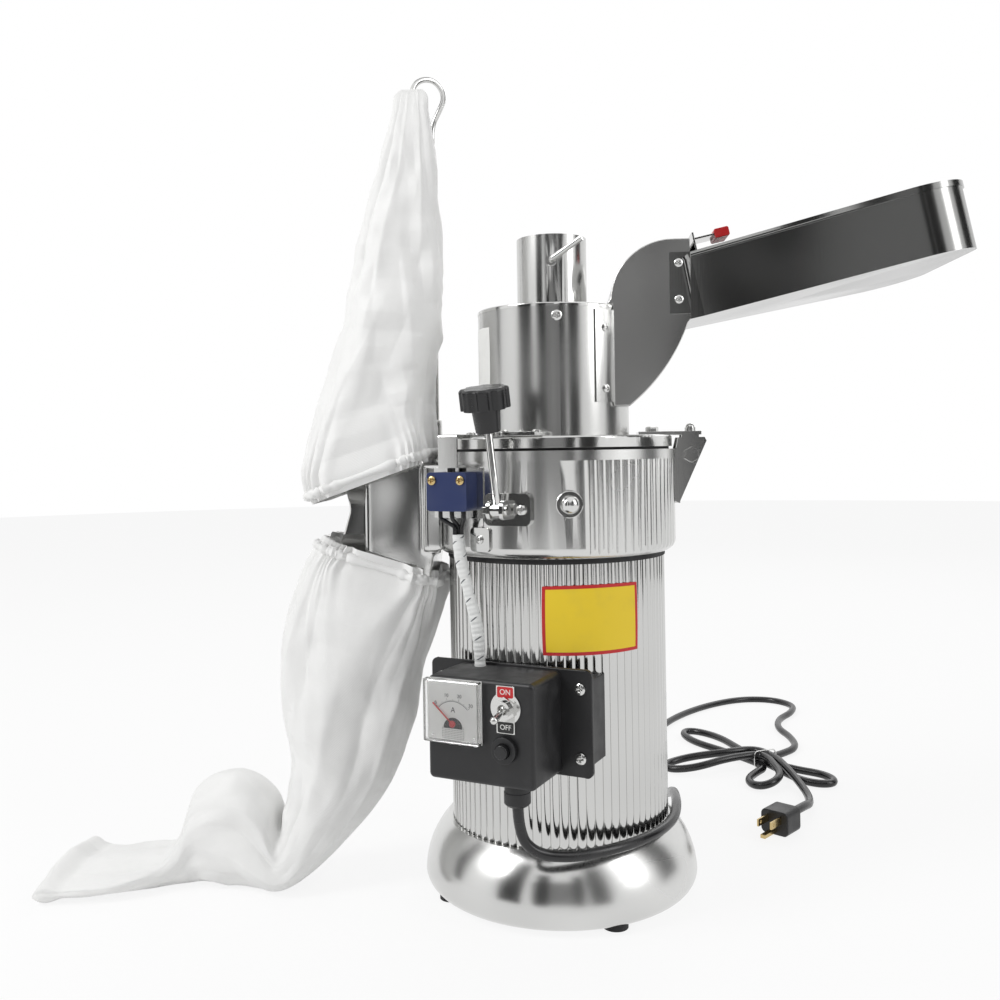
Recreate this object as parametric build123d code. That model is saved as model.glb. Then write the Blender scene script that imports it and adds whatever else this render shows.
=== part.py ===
from build123d import *
import math
import os

os.makedirs("parts", exist_ok=True)

# Clearances per side, in millimetres
RUN_FIT = 0.06
SCREW_FIT = 0.1
SEAT_FIT = 0.1
PRESS_FIT = 0.02

# Directions around the machine axis, in degrees from +X
FRONT_TURN = -23.0
FOOT_ANGLES = (25.0, 115.0, 205.0, 295.0)
COVER_SCREW_ANGLES = (70.0, 160.0, 250.0, 340.0)

# Motor housing
HOUSING_R = 88.0
HOUSING_H = 215.5
HOUSING_WALL = 4.5
HOUSING_FLUTES = 80
FLUTE_DEPTH = 1.3

# Base casting
FOOT_PROUD = 3.0
BASE_H = 53.0
BASE_FLARE = 22.4
BASE_RIM = 3.5
BASE_WALL = 7.0
LEDGE_DEPTH = 4.0
FOOT_R = 9.5
FOOT_H = 6.0
FOOT_SCREW_R = 2.0
COVER_T = 1.5
COVER_SCREW_R = 1.5

# Motor
SHAFT_R = 6.0
BEARING_R = 15.0
BEARING_H = 11.0
PLATE_T = 5.0
STATOR_IN_R = 45.0
STATOR_L = 70.0
COIL_R = 8.0
AIR_GAP = 0.6
FAN_R = 58.0

# Grinding chamber
GASKET_T = 3.5
CHAMBER_STEP = 9.5
CHAMBER_H = 81.0
CHAMBER_WALL = 12.5
CHAMBER_FLOOR_T = 9.0
CHAMBER_REEDS = 82
REED_DEPTH = 1.6
CHAMBER_ROUND = 9.0
FLANGE_H = 7.5
FLANGE_LIP = 1.0
LINER_T = 9.0
LINER_H = 60.0
SEAL_R = 13.0
OUTLET_HALF = 30.0
OUTLET_H = 45.0

# Grinding rotor
DISC_RIM = 8.0
DISC_T = 6.0
HAMMERS = 6
HAMMER_H = 14.0
HAMMER_TIP = 18.0
HAMMER_GAP = 4.0
HAMMER_PIN_R = 2.5

# Lid and neck
SEAL_T = 2.0
LID_T = 9.0
LID_INSET = 1.5
NECK_R = 61.3
NECK_WALL = 1.8
NECK_H = 100.0
NECK_RIM_W = 11.3
NECK_RIM_T = 3.0
CAP_T = 3.0
CAP_SKIRT = 14.0
TUBE_R = 28.6
TUBE_WALL = 2.0
TUBE_RISE = 59.0
TUBE_DROP = 58.0
COLLAR_W = 4.0
LEVER_RISE = 37.0
LEVER_R = 2.4
SLEEVE_R = 46.0

# Feed elbow and hopper
SHEET = 1.5
ELBOW_HALF = 40.0
ELBOW_REACH = 46.7
ELBOW_MOUTH_H = 63.0
TRAY_L = 219.0
TRAY_SLOPE = 12.1
TRAY_FLARE = 16.0
TRAY_STRAIGHT = 14.0
TRAY_H = 51.0
TRAY_CORNER = 38.0
HEM_H = 4.5
HEM_T = 1.2
GATE_T = 1.5
GATE_X = 19.0
GATE_RISE = 15.0

# Discharge chute and hanger
CHUTE_HALF = 36.0
CHUTE_WALL = 4.0
ROD_R = 2.4
SOCKET_R = 5.0
SOCKET_H = 38.0
ROD_H = 299.0

# Lid hinge
PIN_R = 3.5
PIN_OUT = 12.5
PIN_DROP = 5.0
CHEEK_IN = 10.0
CHEEK_T = 3.0
LEAF_T = 3.0
LEAF_GAP = 6.7
HINGE_CUT = 8.0

# Clamp
PIVOT_GAP = 9.5
PIVOT_DROP = 54.0
CLAMP_PIN_R = 2.5
BOLT_R = 2.8
EYE_HALF = 3.5
EAR_T = 3.0
HUB_R = 9.5
HUB_H = 17.0
HEAD_R = 18.2
HEAD_H = 15.5
REST_LEAN = 12.0
LUG_T = 3.0
LUG_GAP = 8.7
SEAT_GAP = 1.4

# Lid switch
SWITCH_ANGLE = 227.0
SWITCH_GAP = 15.0
SWITCH_HALF = 17.0
SWITCH_D = 17.0
SWITCH_H = 29.0
PLUNGER_R = 3.0
STRAP_T = 2.0
WIRE_R = 1.6
BRAID_R = 4.5

# Control box
BOX_GAP = 4.0
BOX_D = 48.0
BOX_HALF = 42.0
BOX_RISE = 62.0
BOX_H = 74.0
BOX_WALL = 2.5
EAR_HALF = 66.0
AM_HALF = 22.3
AM_T = 6.0
NEEDLE_REST = 48.0
TOGGLE_BUSH_R = 5.8
TOGGLE_BALL_R = 3.6
TOGGLE_PIN_R = 0.9
TOGGLE_TILT = 14.0
RESET_R = 5.0

# Mains cord
CORD_R = 4.0
CORD_BORE = 6.0
PLUG_W = 27.0
PLUG_T = 22.0
PLUG_L = 25.0
PLUG_NECK = 13.0
BLADE_L = 18.0

# Levels and radii that follow from the sizes above
BASE_BOTTOM = FOOT_PROUD
BASE_TOP = BASE_BOTTOM + BASE_H
BASE_R = HOUSING_R + BASE_FLARE
BASE_RIM_R = HOUSING_R + BASE_RIM
LEDGE_Z = BASE_TOP - LEDGE_DEPTH
LEDGE_R = HOUSING_R - 8.0
FOOT_RING = BASE_R - 15.4
HOUSING_IN_R = HOUSING_R - HOUSING_WALL
HOUSING_TOP = LEDGE_Z + HOUSING_H
CHAMBER_Z = HOUSING_TOP + GASKET_T
CHAMBER_R = HOUSING_R + CHAMBER_STEP
CHAMBER_IN_R = CHAMBER_R - CHAMBER_WALL
LINER_IN_R = CHAMBER_IN_R - LINER_T
HAMMER_RING = LINER_IN_R - HAMMER_GAP - HAMMER_TIP
DISC_R = HAMMER_RING + DISC_RIM
CHAMBER_FLOOR = CHAMBER_Z + CHAMBER_FLOOR_T
CHAMBER_TOP = CHAMBER_Z + CHAMBER_H
FLANGE_Z = CHAMBER_TOP - FLANGE_H
FLANGE_R = CHAMBER_R + FLANGE_LIP
SEAL_TOP = CHAMBER_TOP + SEAL_T
LID_TOP = SEAL_TOP + LID_T
LID_R = CHAMBER_R - LID_INSET
LID_HOLE_R = NECK_R - NECK_RIM_W
NECK_TOP = LID_TOP + NECK_H
CAP_TOP = NECK_TOP + CAP_T


def cyl(r, z0, z1, x=0.0, y=0.0):
    return Pos(x, y, (z0 + z1) / 2) * Cylinder(r, z1 - z0)


def ring(ro, ri, z0, z1, x=0.0, y=0.0):
    return cyl(ro, z0, z1, x, y) - cyl(ri, z0 - 1, z1 + 1, x, y)


def block(x0, x1, y0, y1, z0, z1):
    return Pos((x0 + x1) / 2, (y0 + y1) / 2, (z0 + z1) / 2) * Box(x1 - x0, y1 - y0, z1 - z0)


def rod(a, b, r):
    a = Vector(*a)
    b = Vector(*b)
    plane = Plane(origin=a, z_dir=b - a)
    return plane * Pos(0, 0, (b - a).length / 2) * Cylinder(r, (b - a).length)


def flat_xz(points, y0, y1):
    wire = Polyline(*[(x, y0, z) for x, z in points], close=True)
    return extrude(make_face(wire), amount=y1 - y0, dir=(0, 1, 0))


# The largest tangent arc that fits between the two runs at each corner
def corner_radii(points):
    radii = []
    for a, b, c in zip(points, points[1:], points[2:]):
        run_in = Vector(*b) - Vector(*a)
        run_out = Vector(*c) - Vector(*b)
        bend = math.radians(run_in.get_angle(run_out))
        radii.append(0.45 * min(run_in.length, run_out.length) / math.tan(bend / 2))
    return radii


def swept(points, radii, r):
    path = FilletPolyline(*points, radius=radii)
    section = (path ^ 0) * Circle(r)
    return sweep(section, path=path)


def spun(shape, angle):
    return Rot(0, 0, angle) * shape


def around(shape, angles):
    return [spun(shape, a) for a in angles]


def evenly(shape, count, start=0.0):
    return [spun(shape, start + 360.0 / count * i) for i in range(count)]


# Pieces of the front are built facing -Y and turned into place
def front(shape):
    return spun(shape, FRONT_TURN)


def both_sides(shape):
    return [shape, mirror(shape, Plane.XZ)]


def joined(items):
    items = list(items)
    out = items[0]
    for item in items[1:]:
        out = out + item
    return out


def cut(shape, items):
    for item in items:
        shape = shape - item
    return shape


# A pan head screw along +z with the underside of its head at the origin
def pan_screw(shank_r, shank_l, head_r, head_h):
    head = Pos(0, 0, head_h / 2) * Cylinder(head_r, head_h)
    head = fillet(head.edges().group_by(Axis.Z)[-1], head_h * 0.45)
    shank = Pos(0, 0, -shank_l / 2) * Cylinder(shank_r, shank_l)
    return head + shank


# Places a screw at a point with its head facing the given direction
def screw_at(screw, at, facing):
    return Plane(origin=at, z_dir=facing) * screw


# A closed outline of bulging reeds, with plain arcs where no reeds are asked for
def reeded_face(crest, depth, count, spans):
    pitch = 360.0 / count
    root = crest - depth
    reeded = [any(a <= (i + 0.5) * pitch <= b for a, b in spans) for i in range(count)]
    edges = []
    for i in range(count):
        a0 = math.radians(i * pitch)
        a1 = math.radians((i + 1) * pitch)
        mid = (a0 + a1) / 2
        r0 = root if reeded[i] or reeded[i - 1] else crest
        r1 = root if reeded[i] or reeded[(i + 1) % count] else crest
        p0 = (r0 * math.cos(a0), r0 * math.sin(a0))
        p1 = (r1 * math.cos(a1), r1 * math.sin(a1))
        edges.append(ThreePointArc(p0, (crest * math.cos(mid), crest * math.sin(mid)), p1))
    return make_face(Wire(edges))


nodes = {}
body_screws = []
lid_screws = []


# Base casting, a dome ring with a floor web and four foot bosses
def dome_solid(inset):
    low = BASE_BOTTOM + (10.0 if inset else 0.0)
    top = BASE_TOP - (1.4 * inset)
    wide = BASE_BOTTOM + 11.5
    wide_r = BASE_R - inset
    rim_r = BASE_RIM_R - inset
    mid = (rim_r + 0.73 * (wide_r - rim_r), wide + 0.52 * (top - wide))
    heel = (wide_r - 11.9, low)
    heel_mid = (wide_r - 3.2, low + 0.33 * (wide - low))
    floor = Polyline((0, 0, low), (heel[0], 0, heel[1]))
    heel_arc = ThreePointArc((heel[0], 0, heel[1]), (heel_mid[0], 0, heel_mid[1]), (wide_r, 0, wide))
    dome_arc = ThreePointArc((wide_r, 0, wide), (mid[0], 0, mid[1]), (rim_r, 0, top))
    roof = Polyline((rim_r, 0, top), (0, 0, top), (0, 0, low))
    edges = floor.edges() + heel_arc.edges() + dome_arc.edges() + roof.edges()
    return revolve(make_face(Wire(edges)), Axis.Z)


dome = dome_solid(0.0)
COVER_Z = BASE_BOTTOM + 6.0
COVER_R = LEDGE_R
COVER_RING = COVER_R - 8.0
bosses = joined(around(cyl(12.0, FOOT_H, BASE_TOP - 9.0, FOOT_RING), FOOT_ANGLES)) & dome
base = dome - dome_solid(BASE_WALL) - cyl(BASE_R - 17.4, 0, COVER_Z) + bosses
base = base - cyl(LEDGE_R, LEDGE_Z - 12.0, BASE_TOP + 1) - cyl(HOUSING_R + SEAT_FIT, LEDGE_Z, BASE_TOP + 1)
base = base - cyl(COVER_RING - 10.0, 0, BASE_BOTTOM + 17.0)
base = cut(base, around(cyl(FOOT_R + SEAT_FIT, -1, FOOT_H, FOOT_RING), FOOT_ANGLES))
base = cut(base, around(cyl(FOOT_SCREW_R + SCREW_FIT, 0, FOOT_H + 17.0, FOOT_RING), FOOT_ANGLES))
base = cut(base, around(cyl(COVER_SCREW_R + SCREW_FIT, 0, COVER_Z + 6.0, COVER_RING), COVER_SCREW_ANGLES))
nodes["base_casting"] = base

foot_hole = cyl(FOOT_SCREW_R + SCREW_FIT, -1, FOOT_H + 1, FOOT_RING)
foot = cyl(FOOT_R, 0, FOOT_H, FOOT_RING) - foot_hole - cyl(FOOT_SCREW_R + 3.0, -1, FOOT_H / 2, FOOT_RING)
nodes["rubber_feet"] = Compound(around(foot, FOOT_ANGLES))
foot_screw = Pos(FOOT_RING, 0, FOOT_H / 2) * Rot(180, 0, 0) * pan_screw(FOOT_SCREW_R, 18.0, 4.2, 2.2)
body_screws += around(foot_screw, FOOT_ANGLES)

cover = cyl(COVER_R, COVER_Z - COVER_T, COVER_Z)
for row in range(3):
    cover = cut(cover, evenly(cyl(3.5, 0, COVER_Z + 1, 20.0 + 14.0 * row), 12))
cover = cut(cover, around(cyl(COVER_SCREW_R + SCREW_FIT, 0, COVER_Z + 1, COVER_RING), COVER_SCREW_ANGLES))
nodes["bottom_cover"] = cover
cover_screw = Pos(COVER_RING, 0, COVER_Z - COVER_T) * Rot(180, 0, 0) * pan_screw(COVER_SCREW_R, 5.0, 3.0, 1.8)
body_screws += around(cover_screw, COVER_SCREW_ANGLES)

# Fluted motor housing
flutes = reeded_face(HOUSING_R, FLUTE_DEPTH, HOUSING_FLUTES, [(0, 360)])
housing = extrude(Pos(0, 0, LEDGE_Z) * flutes, amount=HOUSING_H)
nodes["motor_housing"] = housing - cyl(HOUSING_IN_R, LEDGE_Z - 1, HOUSING_TOP + 1)

# Motor inside the housing
PLATE_R = HOUSING_IN_R - PRESS_FIT
LOW_PLATE_Z = LEDGE_Z + 9.0
HIGH_PLATE_Z = HOUSING_TOP - 16.5
HIGH_BOSS_Z = HIGH_PLATE_Z + 4.0
STATOR_Z = (LOW_PLATE_Z + HIGH_PLATE_Z - STATOR_L) / 2 - 6.0


def bearing_plate(z, boss_low, boss_high, seat_low):
    plate = cyl(PLATE_R, z - PLATE_T, z) + cyl(BEARING_R + 6.0, boss_low, boss_high)
    plate = plate - cyl(BEARING_R, seat_low, boss_high + 1) - cyl(SHAFT_R + 2, boss_low - 1, boss_high + 1)
    return cut(plate, evenly(cyl(9.0, z - 2 * PLATE_T, z + PLATE_T, 52.0), 8))


LOW_SEAT = LOW_PLATE_Z - BEARING_H
HIGH_SEAT = HIGH_BOSS_Z - BEARING_H
low_plate = bearing_plate(LOW_PLATE_Z, LOW_SEAT - 2.0, LOW_PLATE_Z, LOW_SEAT)
high_plate = bearing_plate(HIGH_PLATE_Z, HIGH_SEAT - 4.0, HIGH_BOSS_Z, HIGH_SEAT)
nodes["bearing_plates"] = Compound([low_plate, high_plate])
bearings = [ring(BEARING_R - PRESS_FIT, SHAFT_R + RUN_FIT, z, z + BEARING_H) for z in (LOW_SEAT, HIGH_SEAT)]
nodes["shaft_bearings"] = Compound(bearings)
stator = ring(PLATE_R, STATOR_IN_R, STATOR_Z, STATOR_Z + STATOR_L)
stator = cut(stator, evenly(cyl(8.0, STATOR_Z - 1, STATOR_Z + STATOR_L + 1, PLATE_R - 7.4), 4, 45.0))
COIL_LEVELS = (STATOR_Z - COIL_R, STATOR_Z + STATOR_L + COIL_R)
coils = [Pos(0, 0, z) * Torus(STATOR_IN_R + 12.0, COIL_R) for z in COIL_LEVELS]
nodes["motor_stator"] = Compound([stator] + coils)
core = ring(STATOR_IN_R - AIR_GAP, SHAFT_R, STATOR_Z - 1.0, STATOR_Z + STATOR_L + 1.0)
FAN_Z = LOW_PLATE_Z + 9.0
fan = ring(SHAFT_R + 6.0, SHAFT_R, FAN_Z, FAN_Z + 22.0) + ring(FAN_R, SHAFT_R + 5.0, FAN_Z, FAN_Z + 2.0)
blade = block(SHAFT_R + 5.0, FAN_R, -1, 1, FAN_Z + 1.5, FAN_Z + 20.0)
nodes["armature"] = Compound([core, joined([fan] + evenly(blade, 9))])
nodes["housing_gasket"] = ring(HOUSING_R + 0.6, HOUSING_R - 10.0, HOUSING_TOP, CHAMBER_Z)

# Grinding chamber, reeded on the sides away from the clamp and the chute
reeds = reeded_face(CHAMBER_R, REED_DEPTH, CHAMBER_REEDS, [(20, 150), (285, 344)])
chamber = extrude(Pos(0, 0, CHAMBER_Z) * reeds, amount=CHAMBER_H - FLANGE_H + 1.0)
turn = CHAMBER_ROUND * (1 - math.sqrt(0.5))
bowl_low = Polyline((0, 0, CHAMBER_Z), (CHAMBER_R - CHAMBER_ROUND, 0, CHAMBER_Z))
bowl_arc = ThreePointArc(
    (CHAMBER_R - CHAMBER_ROUND, 0, CHAMBER_Z),
    (CHAMBER_R - turn, 0, CHAMBER_Z + turn),
    (CHAMBER_R, 0, CHAMBER_Z + CHAMBER_ROUND),
)
bowl_up = Polyline(
    (CHAMBER_R, 0, CHAMBER_Z + CHAMBER_ROUND),
    (CHAMBER_R, 0, CHAMBER_TOP + 8),
    (0, 0, CHAMBER_TOP + 8),
    (0, 0, CHAMBER_Z),
)
bowl = revolve(make_face(Wire(bowl_low.edges() + bowl_arc.edges() + bowl_up.edges())), Axis.Z)
chamber = (chamber & bowl) + cyl(FLANGE_R, FLANGE_Z, CHAMBER_TOP)
chamber = chamber - cyl(CHAMBER_IN_R, CHAMBER_FLOOR, CHAMBER_TOP + 1)
chamber = chamber - cyl(SEAL_R, CHAMBER_Z - 1, CHAMBER_FLOOR + 1)
OUTLET_Z = CHAMBER_FLOOR + 7.0
outlet = block(-CHAMBER_R - 22, -60, -OUTLET_HALF, OUTLET_HALF, OUTLET_Z, OUTLET_Z + OUTLET_H)
chamber = chamber - outlet
shaft_seal = ring(SEAL_R, SHAFT_R + RUN_FIT, CHAMBER_Z, CHAMBER_FLOOR)
lid_seal = ring(CHAMBER_IN_R + 8.0, CHAMBER_IN_R, CHAMBER_TOP, SEAL_TOP)
nodes["chamber_seals"] = Compound([shaft_seal, lid_seal])

# Toothed lining ring with a gap at the outlet
liner = ring(CHAMBER_IN_R, LINER_IN_R, CHAMBER_FLOOR, CHAMBER_FLOOR + LINER_H)
tooth = cyl(2.6, CHAMBER_FLOOR - 1, CHAMBER_FLOOR + LINER_H + 1, LINER_IN_R - 1.0)
liner = cut(liner, evenly(tooth, 48)) - outlet
nodes["liner_ring"] = liner

# Grinding rotor on the motor shaft
DISC_Z = CHAMBER_FLOOR + 6.0
DISC_TOP = DISC_Z + DISC_T
HAMMER_TOP = DISC_TOP + HAMMER_H
NUT_Z = DISC_TOP + 20.0
shaft = cyl(SHAFT_R, LOW_SEAT - 3.0, NUT_Z + 6.0) + cyl(SHAFT_R + 3.5, DISC_Z - 4.5, DISC_Z)
nodes["rotor_shaft"] = shaft
disc = ring(DISC_R, SHAFT_R, DISC_Z, DISC_TOP)
hammer_hole = cyl(HAMMER_PIN_R, DISC_Z - 1, HAMMER_TOP + 1, HAMMER_RING)
nodes["hammer_disc"] = cut(disc, evenly(hammer_hole, HAMMERS))
hammer = block(HAMMER_RING - 10, HAMMER_RING + HAMMER_TIP, -8, 8, DISC_TOP, HAMMER_TOP) - hammer_hole
hammer_pin = cyl(HAMMER_PIN_R, DISC_Z, HAMMER_TOP, HAMMER_RING)
hammer_pin = hammer_pin + cyl(HAMMER_PIN_R + 2, HAMMER_TOP, HAMMER_TOP + 3, HAMMER_RING)
nodes["hammers"] = Compound(evenly(hammer, HAMMERS) + evenly(hammer_pin, HAMMERS))
impeller = ring(16.0, SHAFT_R, DISC_TOP, NUT_Z)
vane = block(12.0, HAMMER_RING - 14.0, -1.5, 1.5, DISC_TOP, NUT_Z - 2.0)
impeller = joined([impeller] + evenly(vane, 6, 30.0))
nut = Pos(0, 0, NUT_Z) * extrude(RegularPolygon(10.0, 6), amount=8) - cyl(SHAFT_R, NUT_Z - 1, NUT_Z + 6)
nut = nut + (Pos(0, 0, NUT_Z + 8) * Sphere(8.0) & cyl(9, NUT_Z + 8, NUT_Z + 18))
nodes["impeller"] = Compound([impeller, nut])

# Lid plate, cut flat at the hinge
lid = cyl(LID_R, SEAL_TOP, LID_TOP)
lid = fillet(lid.edges().group_by(Axis.Z)[-1], 2.0) - cyl(LID_HOLE_R, SEAL_TOP - 1, LID_TOP + 1)
lid = lid - block(LID_R - HINGE_CUT, LID_R + 24, -20, 20, SEAL_TOP - 1, LID_TOP + 1)

# Neck with an inner rim screwed to the lid
NECK_RIM_Z = LID_TOP + NECK_RIM_T
neck = ring(NECK_R, NECK_R - NECK_WALL, LID_TOP, NECK_TOP) + ring(NECK_R, LID_HOLE_R, LID_TOP, NECK_RIM_Z)
FEED_HALF = ELBOW_HALF - 6.0
FEED_Z0 = LID_TOP + 29.0
FEED_Z1 = NECK_TOP - 7.0
neck = neck - block(NECK_R / 2, NECK_R + 14, -FEED_HALF, FEED_HALF, FEED_Z0, FEED_Z1)
NECK_SCREW_ANGLES = (273.5, 33.5, 153.5)
NECK_SCREW_Z = NECK_TOP - 7.5
NECK_SCREW_R = 2.0
neck_hole = rod((NECK_R - 11, 0, NECK_SCREW_Z), (NECK_R + 9, 0, NECK_SCREW_Z), NECK_SCREW_R + SCREW_FIT)
neck = cut(neck, around(neck_hole, NECK_SCREW_ANGLES))
neck_screw = screw_at(pan_screw(NECK_SCREW_R, 4.2, 4.0, 2.2), (NECK_R, 0, NECK_SCREW_Z), (1, 0, 0))
lid_screws += around(neck_screw, NECK_SCREW_ANGLES)
RIM_SCREW_ANGLES = (20.0, 110.0, 200.0, 290.0)
RIM_SCREW_RING = NECK_R - NECK_WALL - 4.5
RIM_SCREW_R = 1.5
rim_hole = cyl(RIM_SCREW_R + SCREW_FIT, LID_TOP - 6.5, NECK_RIM_Z + 1, RIM_SCREW_RING)
neck = cut(neck, around(rim_hole, RIM_SCREW_ANGLES))
lid = cut(lid, around(rim_hole, RIM_SCREW_ANGLES))
rim_screw = Pos(RIM_SCREW_RING, 0, NECK_RIM_Z) * pan_screw(RIM_SCREW_R, 8.0, 3.0, 1.8)
lid_screws += around(rim_screw, RIM_SCREW_ANGLES)

# Guide key for the fineness sleeve, welded to the neck rim
KEY_HALF = 2.5
key = block(-LID_HOLE_R - 3, -SLEEVE_R + 1.2, -KEY_HALF, KEY_HALF, NECK_RIM_Z, LID_TOP + 29)
key = key + block(-LID_HOLE_R - 9, -LID_HOLE_R, -KEY_HALF * 2, KEY_HALF * 2, NECK_RIM_Z, NECK_RIM_Z + 3)
neck = neck + key

cap = fillet(cyl(NECK_R + 0.5, NECK_TOP, CAP_TOP).edges().group_by(Axis.Z)[-1], 1.2)
SKIRT_R = NECK_R - NECK_WALL - SEAT_FIT
cap = cap + ring(SKIRT_R, SKIRT_R - 2.5, NECK_TOP - CAP_SKIRT, NECK_TOP)
cap = cap + cyl(TUBE_R + 6, NECK_TOP - 11, CAP_TOP) - cyl(TUBE_R + RUN_FIT, NECK_TOP - 23, CAP_TOP + 1)
cap = cap - block(TUBE_R + 1.4, NECK_R + 9, -FEED_HALF, FEED_HALF, NECK_TOP - 23, FEED_Z1 + 0.5)
cap = cut(cap, around(neck_hole, NECK_SCREW_ANGLES))

# Fineness tube turns in the cap between two collars and drives a keyed sleeve up and down
TUBE_TOP = CAP_TOP + TUBE_RISE
TUBE_Z = NECK_TOP - TUBE_DROP
tube = ring(TUBE_R, TUBE_R - TUBE_WALL, TUBE_Z, TUBE_TOP)
tube = tube + ring(TUBE_R + COLLAR_W, TUBE_R - 1, CAP_TOP, CAP_TOP + 2.5)
tube = tube + ring(TUBE_R + COLLAR_W, TUBE_R - 1, NECK_TOP - 14.5, NECK_TOP - 11 - SEAT_FIT)
LEVER_Z = CAP_TOP + LEVER_RISE
lever_tip = (24.0, -TUBE_R - 17.4, LEVER_Z + 14.5)
lever = rod((0, -TUBE_R + 0.5, LEVER_Z), (0, -TUBE_R - 5.0, LEVER_Z), LEVER_R + 1.8)
lever = lever + swept([(0, -TUBE_R - 3.0, LEVER_Z), (0, -TUBE_R - 7.5, LEVER_Z), lever_tip], 3.5, LEVER_R)
lever = lever - cyl(TUBE_R - TUBE_WALL, LEVER_Z - 20, LEVER_Z + 20)
nodes["fineness_tube"] = tube + lever
SLEEVE_Z = LID_TOP + 22.0
sleeve = ring(TUBE_R + 5, TUBE_R + RUN_FIT, SLEEVE_Z, SLEEVE_Z + 47)
sleeve = sleeve + ring(SLEEVE_R, TUBE_R + 4, SLEEVE_Z, SLEEVE_Z + 3)
sleeve = sleeve + ring(SLEEVE_R, SLEEVE_R - 2, SLEEVE_Z - 17, SLEEVE_Z + 3)
key_slot = block(-SLEEVE_R - 1, -SLEEVE_R + 3, -KEY_HALF - 0.1, KEY_HALF + 0.1, SLEEVE_Z - 18, SLEEVE_Z + 4)
nodes["fineness_sleeve"] = sleeve - key_slot


# Feed elbow, a sheet duct open at the neck and at the tray
def elbow_face(inset, y):
    end = NECK_R + ELBOW_REACH + (3.0 if inset else 0.0)
    low = LID_TOP + 23.0 + inset
    mouth = LID_TOP + 90.0 + inset
    top = LID_TOP + 90.0 + ELBOW_MOUTH_H - inset
    heel = NECK_R - 1.3
    toe = NECK_R + ELBOW_REACH - 1.0 - 0.9 * inset
    bottom = ThreePointArc((heel, y, low), (heel + 27.0 - 0.7 * inset, y, low + 28.0), (toe, y, mouth))
    crown_foot = (NECK_R - 15.3 + inset, y, top - 46.0)
    crown = ThreePointArc((end - 12.0, y, top), (NECK_R + 1.2 + 0.7 * inset, y, top - 12.0), crown_foot)
    mouth_line = Polyline((toe, y, mouth), (end, y, mouth), (end, y, top), (end - 12.0, y, top))
    inner_x = NECK_R - 21.3
    back = Polyline(crown_foot, (inner_x, y, top - 53.0), (inner_x, y, low), (heel, y, low))
    return make_face(Wire(bottom.edges() + mouth_line.edges() + crown.edges() + back.edges()))


ELBOW_END = NECK_R + ELBOW_REACH
duct = extrude(elbow_face(0.0, -ELBOW_HALF), amount=2 * ELBOW_HALF, dir=(0, 1, 0))
duct_in = extrude(elbow_face(SHEET, SHEET - ELBOW_HALF), amount=2 * (ELBOW_HALF - SHEET), dir=(0, 1, 0))
elbow = duct - duct_in - cyl(NECK_R, LID_TOP, NECK_TOP) - cyl(NECK_R + 0.6, NECK_TOP - 0.1, CAP_TOP + 0.1)
elbow = elbow - block(0, NECK_R - 14.0, -ELBOW_HALF, ELBOW_HALF, LID_TOP, CAP_TOP + 0.1)
TAB_ANGLE = 49.0
tab_wedge = make_face(Polyline((0, 0, LID_TOP), (120, -190, LID_TOP), (160, -130.5, LID_TOP), close=True))
tab = ring(NECK_R + SHEET, NECK_R, LID_TOP + 26, NECK_TOP - 2)
tab = tab & extrude(tab_wedge, amount=NECK_H + 20, dir=(0, 0, 1))
elbow = joined([elbow] + both_sides(tab))
TAB_SCREW_Z = (LID_TOP + 36.5, LID_TOP + 84.0)
TAB_SCREW_R = 1.5
for z in TAB_SCREW_Z:
    tab_hole = rod((NECK_R - 11, 0, z), (NECK_R + 9, 0, z), TAB_SCREW_R + SCREW_FIT)
    tab_screw = screw_at(pan_screw(TAB_SCREW_R, 3.8, 3.2, 1.8), (NECK_R + SHEET, 0, z), (1, 0, 0))
    for angle in (-TAB_ANGLE, TAB_ANGLE):
        elbow = elbow - spun(tab_hole, angle)
        neck = neck - spun(tab_hole, angle)
        cap = cap - spun(tab_hole, angle)
        lid_screws.append(spun(tab_screw, angle))
nodes["neck_cylinder"] = neck
nodes["neck_cap"] = cap

# Feed hopper, a flared tray on its own sloping plane
TRAY_X = ELBOW_END - 3.0
TRAY_Z = LID_TOP + 89.0


def in_tray(shape):
    return Pos(TRAY_X, 0, TRAY_Z) * Rot(0, -TRAY_SLOPE, 0) * shape


def tray_plan(inset, start, stop):
    near = ELBOW_HALF + SHEET - inset
    wide = near + (stop - TRAY_STRAIGHT) * math.tan(math.radians(TRAY_FLARE))
    half = [(start, near), (TRAY_STRAIGHT, near), (stop, wide)]
    points = [(x, -y) for x, y in half] + [(x, y) for x, y in reversed(half)]
    face = make_face(Polyline(*points, close=True))
    return fillet(face.vertices().sort_by(Axis.X)[-2:], TRAY_CORNER - inset)


tray = extrude(tray_plan(0, 0, TRAY_L), amount=TRAY_H)
hem = extrude(tray_plan(-HEM_T, TRAY_STRAIGHT - 1.0, TRAY_L + HEM_T), amount=HEM_H)
hem = Pos(0, 0, TRAY_H - HEM_H) * hem
hollow = Pos(0, 0, SHEET) * extrude(tray_plan(SHEET, -20, TRAY_L - SHEET), amount=TRAY_H + 20)
tray = in_tray((tray + hem) - hollow)
tray = tray - block(TRAY_X - 40, ELBOW_END, -ELBOW_HALF - 20, ELBOW_HALF + 20, TRAY_Z - 30, TRAY_Z + 90)
MOUTH_Z = LID_TOP + 90.0
TAB_Z = (MOUTH_Z + 4, MOUTH_Z + TRAY_H + 1)
tray_tab = block(ELBOW_END - 16, ELBOW_END + 1.5, -ELBOW_HALF - SHEET, -ELBOW_HALF, *TAB_Z)
tray = joined([tray] + both_sides(tray_tab))
TRAY_SCREW_X = ELBOW_END - 9.0
TRAY_SCREW_R = 1.5
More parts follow.
